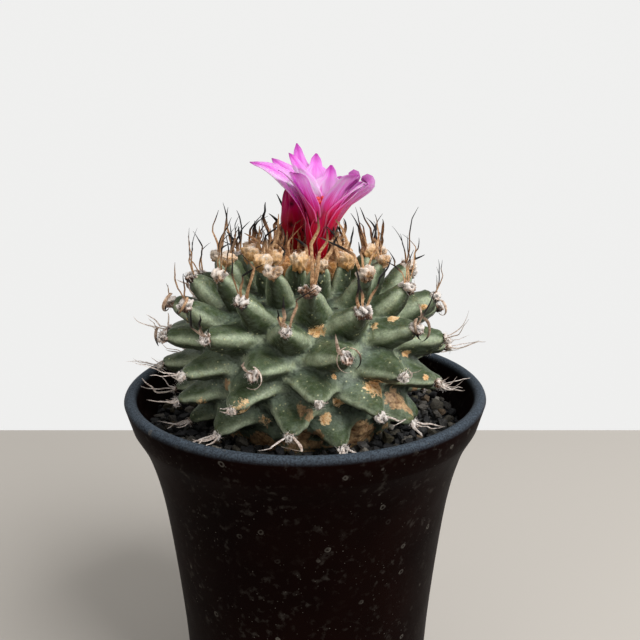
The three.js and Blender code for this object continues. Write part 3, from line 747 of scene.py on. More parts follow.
sound = numbers <= LAST_TUBERCLE
numbers, ends, alongs, ups, sides, sizes = (
    part[sound] for part in (numbers, ends, alongs, ups, sides, sizes)
)
youth = np.clip((36 - numbers) / 18, 0, 1)
bare = tubercle_blunt(sizes) * TUBERCLE_LENGTH  # the end of each tubercle that only wool covers
fullness = np.interp(numbers, [12, 24, 40, 56, 72], [1.4, 1.08, 1.0, 0.86, 0.6])
areole = ends + ups * (1.1 * fullness - 0.7 * youth)[:, None]
areole -= alongs * (0.5 + bare * (0.3 + 0.42 * youth))[:, None]
ball_points, ball_faces = ball(4)
topward = ball_points[:, 2]
tuft_points, tuft_marks, hair_roots, hair_ways = [], [], [], []
for i, n in enumerate(numbers):
    facing = unit(alongs[i] * (0.75 + 0.5 * youth[i]) + ups[i] * 0.7)
    rising = np.cross(facing, sides[i])
    locks = (1.5 + 0.9 * youth[i], 0.7 - 0.25 * youth[i], 1.1)  # they run up and down
    form = felted(ball_points * locks, n) * (1 - 0.3 * youth[i])
    girth = (0.88 + 0.3 * chance(n, 21)) * fullness[i]
    length = girth * (0.85 + 0.2 * youth[i] + 0.2 * chance(n, 23))
    local = ball_points * (1 + form)[:, None] * TUFT_SIZE
    local[:, 0] *= 1 + 0.3 * (chance(n, 22) - 0.5)
    local[:, :2] *= 0.9 + 0.16 * topward[:, None]
    cleft = np.exp(-(local[:, 0] / 0.6) ** 2) * np.clip(topward, 0, 1)
    local[:, 2] -= 0.7 * cleft
    where = areole[i] + (local * (girth, girth, length)) @ np.array([sides[i], rising, facing])
    tuft_points.append(where)
    # Painted shade in the sunken hollows of the felt
    pit = np.clip(-5 * form - 0.05, 0, 1) * (1 - 0.7 * youth[i])
    # Painted light: whiter towards the top of each pad, less so in its cleft
    tuft_marks.append([0.5 + 0.5 * topward - 0.2 * cleft, np.full(len(where), youth[i]), pit])
    chosen = where[rng.choice(np.nonzero(topward > -0.5)[0], HAIRS_PER_TUFT)]
    hair_roots.append(chosen - 0.3 * (chosen - areole[i]))
    hair_ways.append(unit(chosen - areole[i]) * min(1, fullness[i] + 0.1))
tuft_faces = np.concatenate([ball_faces + i * len(ball_points) for i in range(len(numbers))])

felt, tree, place = new_finish("felted_areole_wool")
# Matted hair has no shine: white where it is clean, whiter on top as painted light, stained in
# patches, and painted shade in the gaps
lift, young, pit = (add(tree, "Attribute", output="Fac", attribute_name=mark) for mark in WOOL_MARKS)
locks = add(tree, "VectorMath", [place, (1, 1, 0.4)], operation="MULTIPLY")
clump = add(tree, "TexNoise", {"Vector": locks, "Scale": 1 / 0.5, "Detail": 5, "Roughness": 0.8})
stain = add(tree, "TexNoise", {"Vector": place, "Scale": 1 / 4.2, "Detail": 3})
old_and_young = []
for cleanness, shares, stops in (
    (-0.952, (0.84, 1.68, 0.7), [
        (0.4, WOOL_DARK_AND_SHADE), (0.53, WOOL_BROWN), (0.65, WOOL_CREAM), (0.8, WOOL_WHITE),
    ]),
    (-1.25, (1.7, 0.9, 0.8), [(0.24, WOOL_TAN_DEEP), (0.52, WOOL_TAN), (0.8, WOOL_BUFF), (0.95, WOOL_WHITE)]),
):
    for pattern, share in zip((clump, stain, lift), shares):
        cleanness = add(tree, "Math", [pattern, share, cleanness], operation="MULTIPLY_ADD")
    old_and_young.append(add(tree, "ValToRGB", [cleanness], stops=stops))
felt_colour = add(tree, "MixRGB", [young, *old_and_young])
# Painted shade in the gaps between clumps
painted_gap_shade = add(tree, "Math", [pit, 0.9], operation="MULTIPLY")
add(tree, "OutputMaterial", [add(tree, "BsdfPrincipled", {
    "Base Color": add(tree, "MixRGB", [painted_gap_shade, felt_colour, WOOL_DARK_AND_SHADE]), "Roughness": 0.95,
    "Normal": add(tree, "Bump", {"Height": clump, "Strength": 1, "Distance": 0.0004}),
    "Specular IOR Level": 0.1, "Sheen Weight": 0.25, "Sheen Roughness": 0.5,
})])

make_piece("areole_wool", np.vstack(tuft_points) + (0, 0, RIM_PLANE), tuft_faces, felt,
           marks=dict(zip(WOOL_MARKS, np.concatenate(tuft_marks, axis=1))))


def hairs(start, out, across, length, curl, thickness):
    """Short curling hairs from start points, first outward and then across."""
    sweep = unit(np.cross(out, rng.normal(size=out.shape)))
    t = np.linspace(0, 1, HAIR_STEPS)[None, :, None]
    reach = length * rng.uniform(0.45, 1.15, len(start))[:, None, None]
    paths = start[:, None] + reach * (out[:, None] * (t - 0.4 * t ** 2) + sweep[:, None] * curl * t ** 2)
    half = HAIR_THICK * np.linspace(*thickness, HAIR_STEPS)[None] * np.ones((len(paths), 1))
    return strands(paths, unit(np.cross(across, sweep)), half, half, sides=HAIR_SIDES)


hair_ways = np.vstack(hair_ways)
points, faces = hairs(np.vstack(hair_roots), hair_ways, hair_ways, HAIR_LENGTH, 1.3, (1, 0.35))
# Painted light and shade along each hair: lighter at its tip, darker at its root
up_a_hair = np.repeat([0.4, 0.55, 0.7, 0.85, 1.0], HAIR_SIDES)
make_piece("areole_hairs", points + (0, 0, RIM_PLANE), faces, felt, marks={
    "lift": np.tile(up_a_hair, len(hair_ways)), "young": np.repeat(youth, HAIRS_PER_TUFT * len(up_a_hair)),
    "pit": np.zeros(len(points)),
})


# Spines
# Each areole bears two to five spines, flat and papery like a shaving of horn, which twist up
# towards the crown. They are tan with black points when young; old ones darken, split and curl.

SPINE_LENGTH = 11.5
SPINE_HALF_WIDTH = 0.44
SPINE_HALF_DEPTH = 0.16
SPINE_STEPS = 20
SPINE_SIDES = 6
LONG_PAIR = 35  # this tubercle's two spines stand up in front of the bloom
LONG_PAIR_LENGTHS = (16, 19, 7, 7)  # the pair itself, and the short ones beside it
PLANT_REACH = 54  # no spine reaches further from the axis
SPINE_TAN = "#d8b086"
SPINE_BROWN = "#855a38"
SPINE_BLACK = "#120d0d"
SPINE_BLEACHED = "#f4ebe4"
SPINE_GREY = "#a08c80"


def spine_path(start, first, towards, last, length, kink, side):
    """A spine's line in three leaning stretches, with a kink in the last one."""
    bend = start + first * length * 0.36
    far = bend + towards * length * 0.34
    tip = far + last * length * 0.34
    t = np.linspace(0, 1, SPINE_STEPS)[:, None]
    line = (1 - t) ** 3 * start + 3 * t * (1 - t) ** 2 * bend + 3 * t ** 2 * (1 - t) * far + t ** 3 * tip
    wave = {k: math.sin(kink * k) for k in (30, 40, 50, 60, 70, 80, 90, 110)}
    turns = [0, 0.3, 0.5 + 0.08 * wave[50], 0.72 + 0.1 * wave[90], 1]
    zigzag = np.interp(t, turns, [0, 0.3, wave[40], -wave[70], wave[110]])
    across_zigzag = np.interp(t, turns, [0, -0.2, wave[60], wave[30], -wave[80]])
    wander = 0.05 * length * (zigzag * side + across_zigzag * unit(np.cross(side, first)))
    return line + side * kink * np.clip(t - 0.45 - 0.3 * abs(wave[50]), 0, 1) * length + wander


def spine_piece(name, spines):
    """A piece of flat tapering spines that swell and thin a little: line, width way, age, black and girth."""
    paths, across, age, black, girth = (np.array(part) for part in zip(*spines))
    t = np.linspace(0, 1, SPINE_STEPS)[None]
    taper = (1.02 - 0.86 * t ** 3.2 - 0.25 * np.exp(-t / 0.05)) * girth[:, None]
    swell = 1 + 0.12 * np.sin(t * 11 + np.arange(len(paths))[:, None] * 2.1)
    half_width, half_depth = SPINE_HALF_WIDTH * taper * swell, SPINE_HALF_DEPTH * taper
    points, faces = strands(paths, unit(across), half_width, half_depth, sides=SPINE_SIDES)
    per_spine = SPINE_STEPS * SPINE_SIDES
    make_piece(name, points + (0, 0, RIM_PLANE), faces, horn, crease=50, marks={
        "reach": np.tile(np.repeat(t[0], SPINE_SIDES), len(paths)), "age": np.repeat(age, per_spine),
        "black": np.repeat(black, per_spine),
    })


horn, tree, place = new_finish("papery_horn_spine")
# Dry horn is dull and fibrous: streaked along its length, brown at the edges, black at the point
reach, age, black = (
    add(tree, "Attribute", output="Fac", attribute_name=mark) for mark in ("reach", "age", "black")
)
fibre = add(tree, "TexNoise", {"Vector": place, "Scale": 1 / 0.7, "Detail": 4, "Roughness": 0.75})
streaks = add(tree, "MapRange", [fibre, 0.38, 0.62, 0, 1])
young_horn = add(tree, "MixRGB", [streaks, SPINE_BROWN, SPINE_TAN])
old_horn = add(tree, "MixRGB", [streaks, SPINE_GREY, SPINE_BLEACHED])
horn_colour = add(tree, "MixRGB", [age, young_horn, old_horn])
from_point = add(tree, "Math", [fibre, 0.5, reach], operation="MULTIPLY_ADD")
from_point = add(tree, "Math", [from_point, black], operation="SUBTRACT")
blackness = add(tree, "MapRange", [from_point, 0.25, 0.5, 0, 1])
add(tree, "OutputMaterial", [add(tree, "BsdfPrincipled", {
    "Base Color": add(tree, "MixRGB", [blackness, horn_colour, SPINE_BLACK]), "Roughness": 0.55,
    "Normal": add(tree, "Bump", {"Height": fibre, "Strength": 0.7, "Distance": 0.00015}),
    "IOR": 1.5, "Specular IOR Level": 0.25,
})])

spines = []
for i, n in enumerate(numbers):
    along, up, side_way, full = alongs[i], ups[i], sides[i], fullness[i]
    inwards = -unit(ends[i] * (1, 1, 0))
    old = np.clip((n - 42) / 26, 0, 1)
    before_bloom = n < 33 and ends[i, 1] < 0 and -12 < ends[i, 0] < 12
    count = 1 if before_bloom else 2 + (chance(n, 31) < 0.75) + (chance(n, 32) < 0.5) + (n < 30)
    for number in range(count):
        hand = (-1, 1, 0.15, -0.45, 0.6)[number]
        draw = [chance(n, 60 + 9 * number + k) for k in range(9)]
        beside = side_way * hand * (0.75 if number < 2 else 0.5)
        start = areole[i] + (beside + up * (0.2 + 0.5 * draw[0])) * full - along * 0.5
        swing = hand * (0.2 + 0.35 * draw[1]) + 0.25 * (draw[2] - 0.5)
        first = unit(along + side_way * swing * (1 + old) + up * (0.55 + 0.5 * draw[3]) * (1 - 0.75 * old))
        towards = unit(UPWARD * (1 - 0.7 * old) + side_way * swing * 1.1
                       + along * (0.35 * draw[4] + 0.7 * old) + inwards * 0.25 * draw[5] * (1 - old))
        last = unit(UPWARD * (0.9 - 0.4 * old * draw[6]) + inwards * (1.5 * draw[7] - 0.35) * (1 - 0.8 * old)
                    + along * 0.8 * old + side_way * (draw[8] - 0.5) * 1.5)
        length = SPINE_LENGTH * (0.72 + 0.5 * draw[4]) * (1 - 0.28 * old * draw[5])
        length *= 1 + 0.34 * np.exp(-((n - 31) / 7) ** 2) if number < 2 else 0.85
        length *= 0.6 if before_bloom else 1
        if n == LONG_PAIR:
            lean = side_way * (-0.27, -0.08)[min(number, 1)]
            start = start - side_way * (0.1, 1.3)[min(number, 1)]
            first, towards, last = (unit(UPWARD + way) for way in (lean + along * 0.3, lean, lean * 0.4))
            length, draw[0], draw[1] = LONG_PAIR_LENGTHS[number], 1, 0.6
        length *= 0.45 if old > 0.2 and draw[2] < 0.18 else 1  # it has broken off
        kink = (draw[1] - 0.5) * (2.6 if draw[0] < 0.75 else 0.3)
        if 0.1 < old < 0.8 and draw[7] < 0.3:
            # It has curled back round its own tuft
            turn = np.linspace(0.2, 0.2 + math.pi * (0.75 + 0.5 * draw[8]), SPINE_STEPS)[:, None]
            reach = (2.3 + 0.8 * draw[3] + 0.2 * turn) * (0.35 + 0.65 * full)
            line = areole[i] + (up * np.cos(turn) + side_way * np.sin(turn) * (1 if hand > 0 else -1)) * reach
            line += along * (0.8 + 0.9 * np.sin(turn * 0.9))
            width_way = along
        else:
            width_way = unit(side_way + 0.4 * up * (draw[3] - 0.5))
            line = spine_path(start, first, towards, last, length, kink, width_way)
            while np.hypot(line[:, 0], line[:, 1]).max() >= PLANT_REACH and length >= 3:
                length *= 0.85
                line = spine_path(start, first, towards, last, length, kink, width_way)
        black = (0.32 + 0.5 * draw[8] + 0.1 * youth[i]) * (1 - 0.45 * (draw[5] > 0.62))
        black, girth = black + 0.9 * np.clip(1.7 * old - 0.7, 0, 1), (0.65 + 0.6 * draw[2])
        girth *= 1 - 0.2 * old + 0.45 * youth[i]
        if n == LONG_PAIR:
            black, girth = 0.72, 1.05
        spines.append((line, width_way, np.clip(old * (0.7 + 0.5 * draw[6]), 0, 1), black, girth))
spine_piece("spines", spines)


# Crown
# In the middle of the crown the youngest areoles crowd together into one tan cushion of wool,
# bristling with their first papery spines. The blooms come up through it.

WOOL_RADIUS = 10.5
WOOL_BOTTOM = 30.9
WOOL_TOP = 40.2
CROWN_AREOLES = 17
CROWN_RADIUS = 10.2
CUSHION_HAIRS = 1500
CUSHION_HAIR_LENGTH = 1.7

ball_points, ball_faces = ball(6)
k = np.arange(CROWN_AREOLES)
crown_turn = np.radians(SPIRAL_START + DIVERGENCE * k)
crown_out = np.stack([np.cos(crown_turn), np.sin(crown_turn)], axis=1)
crown_seats = CROWN_RADIUS * np.sqrt((k + 0.5) / CROWN_AREOLES)[:, None] * crown_out
half_sizes = (WOOL_RADIUS, WOOL_RADIUS, (WOOL_TOP - WOOL_BOTTOM) / 2)
cushion = ball_points * half_sizes * (1 - 0.1 * ball_points[:, 2:])
cushion += (0, 0, (WOOL_TOP + WOOL_BOTTOM) / 2)
from_seat = np.linalg.norm(cushion[:, None, :2] - crown_seats, axis=2).min(1)
tufty = np.exp(-(from_seat / 2.1) ** 2) * np.clip(ball_points[:, 2] + 0.4, 0, 1)
fluff = felted(ball_points * 4, 4.2, clumps=0.6)
cushion += ball_points * (2.1 * tufty - 0.8 + 1.3 * fluff)[:, None]
# Painted light on the standing tufts and lumps of the cushion
cushion_lift = np.clip(0.25 + 0.35 * tufty + 0.8 * fluff, 0, 1)
# Painted shade in the sunken hollows of the cushion
cushion_gap_shade = np.clip(-1.6 * fluff - 0.6, 0, 0.35)
chosen = rng.choice(np.nonzero(ball_points[:, 2] > -0.1)[0], CUSHION_HAIRS)
ways = ball_points[chosen]
hair_points, hair_faces = hairs(
    cushion[chosen] - ways * 0.4, unit(ways + (0, 0, 0.4)), ways, CUSHION_HAIR_LENGTH, 1.2, (1.1, 0.4),
)
points = np.vstack([cushion, hair_points]) + (0, 0, RIM_PLANE)
faces = ball_faces.tolist() + [[v + len(cushion) for v in face] for face in hair_faces]
make_piece("crown_cushion", points, faces, felt, ["crown_wool"], marks={
    "lift": np.concatenate([cushion_lift, np.repeat(cushion_lift[chosen], HAIR_STEPS * HAIR_SIDES) + 0.1]),
    "young": np.ones(len(points)), "pit": np.concatenate([cushion_gap_shade, np.zeros(len(hair_points))]),
})

spines = []
for k, (x, y) in enumerate(crown_seats):
    out = unit(np.array([x, y, 0.01]))
    for number in range(5 + k % 3):
        turn = 2.4 * number + k
        way = np.array([math.cos(turn), math.sin(turn), 0])
        start = np.array([x, y, WOOL_TOP - 2.6]) + way * 0.7
        first = unit(out * (0.2 + 0.45 * rng.uniform()) + way * 0.3 + UPWARD)
        towards = unit(out * (0.5 * rng.uniform() - 0.1) + way * 0.25 + UPWARD)
        last = unit(out * rng.uniform(-1.2, 1.0) + way * rng.uniform(-0.9, 0.9) + UPWARD * 0.8)
        length = SPINE_LENGTH * rng.uniform(0.6, 1.05)
        if y < -1 and abs(x - 1) < 8:  # none hides the foot of the bloom
            continue
        width_way = unit(np.cross(first, way) + 1e-6)
        line = spine_path(start, first, towards, last, length, rng.uniform(-1.1, 1.1), width_way)
        spines.append((line, width_way, 0, rng.uniform(0.6, 1.1), rng.uniform(0.8, 1.45)))
spine_piece("crown_spines", spines)


# Blooms
# Two blooms stand in the crown wool. The open one is a funnel of thin glassy tepals on a short
# tube, crimson below and pale pink above; the spent one behind it has furled up dark and shiny.

OPEN_FOOT, OPEN_LEAN = (3.0, -2.2, 36.5), (0.09, -0.02)
CLOSED_FOOT, CLOSED_LEAN = (-3.2, 4.6, 36.5), (-0.02, 0.2)
OPEN_HEIGHT, CLOSED_HEIGHT = 30, 24
TEPAL_THICK = 0.34
TEPAL_STEPS = 44
TEPAL_ACROSS = 18
TEPAL_FOOT = [(1.9, 0.8), (2.3, 4.5)]  # every tepal starts inside the tube
# How wide a tepal is along its length: drawn out to a point, or broad to the end
POINTED = [
    (0, 0.4), (0.2, 0.56), (0.4, 0.84), (0.54, 1), (0.66, 0.94), (0.76, 0.66), (0.86, 0.44),
    (0.95, 0.24), (1, 0.03),
]
BROAD = [(0, 0.34), (0.2, 0.48), (0.4, 0.7), (0.6, 0.9), (0.78, 1), (0.9, 1), (0.96, 0.86), (1, 0.4)]
STRAP = [
    (0, 0.4), (0.2, 0.6), (0.35, 0.86), (0.48, 1), (0.58, 0.9), (0.68, 0.72), (0.8, 0.54), (0.94, 0.4),
    (1, 0.26),
]
TIPPED = [
    (0, 0.4), (0.2, 0.56), (0.4, 0.8), (0.6, 1), (0.78, 1), (0.84, 0.76), (0.88, 0.4), (0.95, 0.3),
    (1, 0.06),
]
# Heading, width, outline, how the tip rolls in (radius and turns), and radius and height along it
TEPALS = [
    (164, 8.8, POINTED, 0, 0, [
        (2.6, 9.9), (3.9, 13.6), (5.6, 17.4), (8, 21), (11.4, 23.8), (16.4, 26), (22, 26.7),
    ]),
    (146, 10, POINTED, 0, 0, [(2.7, 9.9), (3.5, 14), (4.9, 18.4), (8, 22.8), (12.6, 26), (17.9, 28.6)]),
    (124, 9, POINTED, 0, 0, [(2.3, 9.9), (3.6, 14), (5.8, 18.4), (8.8, 22.6), (13.2, 27.7), (15.8, 33)]),
    (102, 9.4, TIPPED, 0, 0, [(2.6, 9.9), (3.4, 14), (5, 19), (7.2, 23.1), (9.6, 26.6), (11.6, 30.8)]),
    (76, 10, TIPPED, 0, 0, [(2.3, 9.9), (3.2, 14), (4.6, 18.4), (6, 22.6), (6.9, 25.6), (7.2, 28.2)]),
    (46, 8.8, BROAD, 0, 0, [(2.6, 9.9), (3.3, 14), (4.8, 18.4), (6.7, 22.4), (8, 25.4)]),
    (18, 8.6, STRAP, 1.0, 0.9, [(2.4, 9.9), (3.4, 14.5), (5, 18.4), (6.7, 21.4), (8.6, 23.9), (9.9, 25.3)]),
    (2, 12, STRAP, 1.4, 0.62, [
        (2.3, 5.6), (3.5, 8.3), (4.7, 12.1), (6, 15.5), (7.7, 18.8), (9.7, 21.2), (11.6, 22.8), (12.7, 23.9),
    ]),
    (11, 9.6, BROAD, 0, 0, [(2.4, 8), (3.4, 12), (4.8, 16.2), (6.4, 19.4), (8.8, 22.6), (11.6, 24.7)]),
    (-28, 10.6, BROAD, 0, 0, [(2.4, 9.5), (3.2, 14), (4.5, 19), (6.4, 23), (8.6, 26), (9.6, 26.8)]),
    (-144, 8.6, BROAD, 0, 0, [(2.6, 9.5), (3.3, 13.8), (4.9, 18.3), (6.9, 22), (9.2, 25.2), (10.4, 26)]),
    (-172, 8.8, POINTED, 0, 0, [(2.4, 9.5), (3.4, 14), (5.1, 18), (7.6, 22), (10.6, 25), (12.6, 26)]),
    (-14, 8.4, POINTED, 0, 0, [(2.4, 7), (3.5, 10), (4.9, 14), (6.8, 18), (9.4, 21.8), (10.8, 23.4)]),
    (134, 7, POINTED, 0, 0, [(2.5, 9.9), (3.3, 14.4), (5.4, 19.8), (9.4, 25.2), (13.4, 28.6), (15.6, 30)]),
    (-93, 5.2, POINTED, 0, 0, [(2.6, 6), (3.1, 10), (3.5, 14.5), (3.9, 18.6)]),
    (60, 4.6, POINTED, 0, 0, [(2.8, 6), (3.4, 10), (4.2, 14), (5.4, 18.2)]),
    (112, 5, POINTED, 0, 0, [(2.8, 6), (3.4, 10), (4.4, 14.5), (6, 19.4)]),
    (-58, 4.2, POINTED, 0, 0, [(2.7, 4), (3.0, 7), (3.2, 10), (3.6, 13)]),
    (-160, 4.6, POINTED, 0, 0, [(2.7, 4), (3.2, 8), (3.7, 12), (4.4, 15.6)]),
]
ROLL_STEPS = 8
ROLLED_TWIST, BACK_TWIST = 0.8, 0.6  # radians, at the tips of rolled tepals and of the ones at the back
BACK_HEADING = 120  # tepals past this heading stand at the back
TUBE_OUTSIDE = [(0.3, 0.02), (2, 0.2), (2.4, 1.5), (2.6, 5), (2.8, 8), (3.0, 10.4), (3.1, 11.6)]
TUBE_INSIDE = [(2.9, 11.6), (2.7, 10.4), (2.2, 8.6), (1.6, 7.8), (0.3, 7.4)]
TUBE_STEPS = (48, 24)  # along its outside and its inside
TUBE_AROUND = 72
PETAL_INSIDE = [
    (0.1, "#9c021a"), (0.42, "#ca0636"), (0.54, "#e42078"),
    (0.63, "#f66cd2"), (0.72, "#ffc4fe"), (0.9, "#fc8cee"),
]
PETAL_OUTSIDE = [
    (0.08, "#96040e"), (0.34, "#ca0a2a"), (0.5, "#e62250"),
    (0.62, "#ec4c96"), (0.73, "#fc9eea"), (0.88, "#ffccfd"),
]
PETAL_STREAK = "#ca22a6"
PETAL_POINT = "#820c70"
PETAL_EDGE = "#f0b4dc"


def stood(points, foot, lean):
    """Points about a bloom's own axis, stood on its foot in the wool."""
    axis = Vector((lean[0], lean[1], 1)).normalized()
    turn = np.array(Vector((0, 0, 1)).rotation_difference(axis).to_matrix())
    return points @ turn.T + np.array(foot) + (0, 0, RIM_PLANE)


def sheet_faces(rows, columns):
    """Faces of a closed leaf whose outer grid of points is followed by its inner one."""
    r, c = np.meshgrid(np.arange(rows - 1), np.arange(columns - 1), indexing="ij")
    a = (r * columns + c).reshape(-1)
    outer = np.stack([a, a + 1, a + columns + 1, a + columns], axis=1)
    inner = outer[:, ::-1] + rows * columns
    rim = np.concatenate([
        np.arange(columns - 1), np.arange(rows - 1) * columns + columns - 1,
        rows * columns - 1 - np.arange(columns - 1), (rows - 1 - np.arange(rows - 1)) * columns,
    ])
    step = np.repeat([1, columns, -1, -columns], [columns - 1, rows - 1, columns - 1, rows - 1])
    walls = np.stack([rim + step, rim, rim + rows * columns, rim + step + rows * columns], axis=1)
    return np.vstack([outer, inner, walls])


def rolled_in(line, radius, turns):
    """A tepal's line with its tip rolled in over a number of turns, tighter towards the end."""
    (r0, z0), (r, z) = line[-2:]
    start = math.atan2(z - z0, r - r0)
    for k in range(1, ROLL_STEPS + 1):
        bend = start + 2 * math.pi * turns * k / ROLL_STEPS
        stride = 2 * math.pi * turns * radius * (1 - 0.07 * k) / ROLL_STEPS
        r, z = r + stride * math.cos(bend), z + stride * math.sin(bend)
        line = line + [(r, z)]
    return line


def tepal(heading, width, outline, roll, turns, line, seed):
    """Points of one tepal, wrapped round the tube below and cupped above, with its marks."""
    line = TEPAL_FOOT[:1 if line[0][1] < 6 else 2] + line
    fine = curve_through(rolled_in(line, roll, turns) if roll else line, 400)
    run = np.r_[0, np.cumsum(np.hypot(*np.diff(fine, axis=0).T))]
    t = np.linspace(0, 1, TEPAL_STEPS)
    r, z = (np.interp(t * run[-1], run, fine[:, k]) for k in range(2))
    angle = math.radians(heading)
    out, side = np.array([[math.cos(angle), math.sin(angle), 0], [-math.sin(angle), math.cos(angle), 0]])
    path = out * r[:, None] + UPWARD * z[:, None]
    face = unit(np.cross(side, unit(np.gradient(path, axis=0))))
    twist = ((ROLLED_TWIST if roll else BACK_TWIST if heading > BACK_HEADING else 0) * t)[:, None]
    side, face = side * np.cos(twist) + face * np.sin(twist), face * np.cos(twist) - side * np.sin(twist)
    half = np.interp(t, *zip(*outline))[:, None] * width / 2
    half *= 1 + 0.05 * np.sin(t * 17 + seed)[:, None]
    v = np.linspace(-1, 1, TEPAL_ACROSS)[None]
    curve = np.clip(1 / (np.hypot(r, 0.5) + 0.2), 0.1, 0.5)[:, None] * (1 - 0.25 * t[:, None])
    swept = np.clip(curve * half * v, -1.9, 1.9)
    flat, inward = np.sin(swept) / curve, (1 - np.cos(swept)) / curve
    fine_share = half / (width / 2)
    late = t[:, None] ** 2 * fine_share
    inward += late * (0.34 * np.sin(t[:, None] * 13 + seed + 2.4 * np.sign(v)) * np.abs(v) ** 3)
    ripple = 0.16 * np.cos(v * 8 + seed) * (0.25 + late) - 0.45 * np.abs(v) ** 7 * (0.2 + late)
    inward += ripple * fine_share
    thick = TEPAL_THICK * (1 - 0.5 * v ** 2) * (1 - 0.45 * t[:, None] ** 2)
    sway = (0.5 * np.sin(t * 5 + seed * 2) * t ** 2)[:, None]
    middle = path[:, None] + side[:, None] * (flat + sway)[..., None] - face[:, None] * inward[..., None]
    skin_offset = face[:, None] * (thick / 2)[..., None]
    points = np.concatenate([(middle + skin_offset).reshape(-1, 3), (middle - skin_offset).reshape(-1, 3)])
    point_starts = 0.9 if not roll else 0.66 if turns > 0.8 else 0.84
    return points, mark_rows(np.repeat(t, TEPAL_ACROSS), np.tile(v[0], TEPAL_STEPS), point_starts)


def mark_rows(reach, across, point_starts):
    """Marks of a leaf, outer side first: reach, across, outer, and how near its dark point is."""
    point = np.clip((reach - point_starts) * 10, 0, 1)
    return np.hstack([[reach, across, np.full(len(reach), side), point] for side in (1.0, 0.0)])


points, faces, marks = [], [], []
count = 0
for index, row in enumerate(TEPALS):
    leaf, leaf_marks = tepal(*row, seed=index * 1.7)
    points.append(leaf)
    faces += (sheet_faces(TEPAL_STEPS, TEPAL_ACROSS) + count).tolist()
    marks.append(leaf_marks)
    count += len(leaf)
tube_sides = zip((TUBE_OUTSIDE, TUBE_INSIDE), TUBE_STEPS)
tube_profile = np.vstack([curve_through(line, steps) for line, steps in tube_sides])
tube, tube_faces = turned(tube_profile, TUBE_AROUND)
points.append(tube)
faces += (tube_faces + count).tolist()
tube_outer = np.repeat([1.0, 0.0], np.array(TUBE_STEPS) * TUBE_AROUND)
marks.append([np.full(len(tube), 0.2), np.full(len(tube), 0.6), tube_outer, np.zeros(len(tube))])
bloom = np.vstack(points)
bloom_marks = dict(zip(("reach", "across", "outer", "point"), np.hstack(marks)))
bloom_marks["rise"] = np.clip(bloom[:, 2] / OPEN_HEIGHT, 0, 1)

petal, tree, place = new_finish("glassy_petal")
# Petal tissue is thin and wet, so light goes into it: crimson at the base, pale pink above, with
# fine veins along it, a magenta streak down its middle and a pale turned edge
reach, across, outer, point, rise = (
    add(tree, "Attribute", output="Fac", attribute_name=mark) for mark in bloom_marks
)
vein_place = add(tree, "CombineXYZ", [
    add(tree, "Math", [across, 5.0], operation="MULTIPLY"), reach,
    add(tree, "VectorMath", [place, (0.12, 0.12, 0.12)], operation="MULTIPLY"),
])
vein = add(tree, "TexNoise", {"Vector": vein_place, "Scale": 1.7, "Detail": 3, "Roughness": 0.6})
level = add(tree, "Math", [vein, 0.42, -0.21], operation="MULTIPLY_ADD")
level = add(tree, "Math", [rise, level], operation="ADD")
petal_colour = add(tree, "MixRGB", [
    outer, *(add(tree, "ValToRGB", [level], stops=stops) for stops in (PETAL_INSIDE, PETAL_OUTSIDE)),
])
off_middle = add(tree, "Math", [across], operation="ABSOLUTE")
streak = add(tree, "MapRange", [off_middle, 0, 0.5, 0.5, 0], interpolation_type="SMOOTHSTEP")
faint_outside = add(tree, "Math", [outer, -0.6, 1], operation="MULTIPLY_ADD")
for share in (add(tree, "MapRange", [reach, 0.45, 0.85, 0.15, 1]), faint_outside):
    streak = add(tree, "Math", [streak, share], operation="MULTIPLY")
edge = add(tree, "MapRange", [off_middle, 0.86, 1, 0, 0.5], interpolation_type="SMOOTHSTEP")
edge = add(tree, "Math", [edge, rise], operation="MULTIPLY")
tip = add(tree, "Math", [point, 0.85], operation="MULTIPLY")
for share, colour in ((streak, PETAL_STREAK), (edge, PETAL_EDGE), (tip, PETAL_POINT)):
    petal_colour = add(tree, "MixRGB", [share, petal_colour, colour])
add(tree, "OutputMaterial", [add(tree, "BsdfPrincipled", {
    "Base Color": petal_colour, "Roughness": 0.4, "IOR": 1.22,
    "Normal": add(tree, "Bump", {"Height": vein, "Strength": 0.6, "Distance": 0.00015}),
    "Subsurface Weight": 0.6, "Subsurface Radius": (1.8, 0.5, 1.5), "Subsurface Scale": 0.001,
})])

make_piece("open_bloom", stood(bloom, OPEN_FOOT, OPEN_LEAN), faces, petal, ["bloom_open"],
           marks=bloom_marks)

# The style ends in five velvety lobes, with a ring of stamens below them
STIGMA_LOBES = 5
ORGANS = 17  # lobes and stamens
ORGAN_STEPS = 18
ORGAN_SIDES = 10
STIGMA_RED = "#d8304a"
STIGMA_ORANGE = "#f0553c"

paths, widths = [], []
for k in range(ORGANS):
    turn, lobe = 2.4 * k, k < STIGMA_LOBES
    out = np.array([math.cos(turn), math.sin(turn), 0])
    top = 19.2 + 0.5 * (k % 3) if lobe else 15.6 + 1.1 * (k % 4)
    spread = 1.5 if lobe else 1.7 + 0.35 * (k % 3)
    ways = ((0.35, 7.5), (0.3 if lobe else 1.2, top * 0.75), (spread, top))
    paths.append(curve_through([out * away + UPWARD * height for away, height in ways], ORGAN_STEPS))
    width = np.interp(np.linspace(0, 1, ORGAN_STEPS), [0, 0.8, 0.88, 0.96, 1], [0.2, 0.2, 0.5, 0.5, 0.2])
    widths.append(width * (1.1 if lobe else 1))
paths, widths = np.array(paths), np.array(widths)
lying = np.tile([0.6, 0.8, 0.0], (ORGANS, 1))
organ_points, organ_faces = strands(paths, lying, widths, widths, sides=ORGAN_SIDES)

velvet, tree, place = new_finish("velvety_stigma")
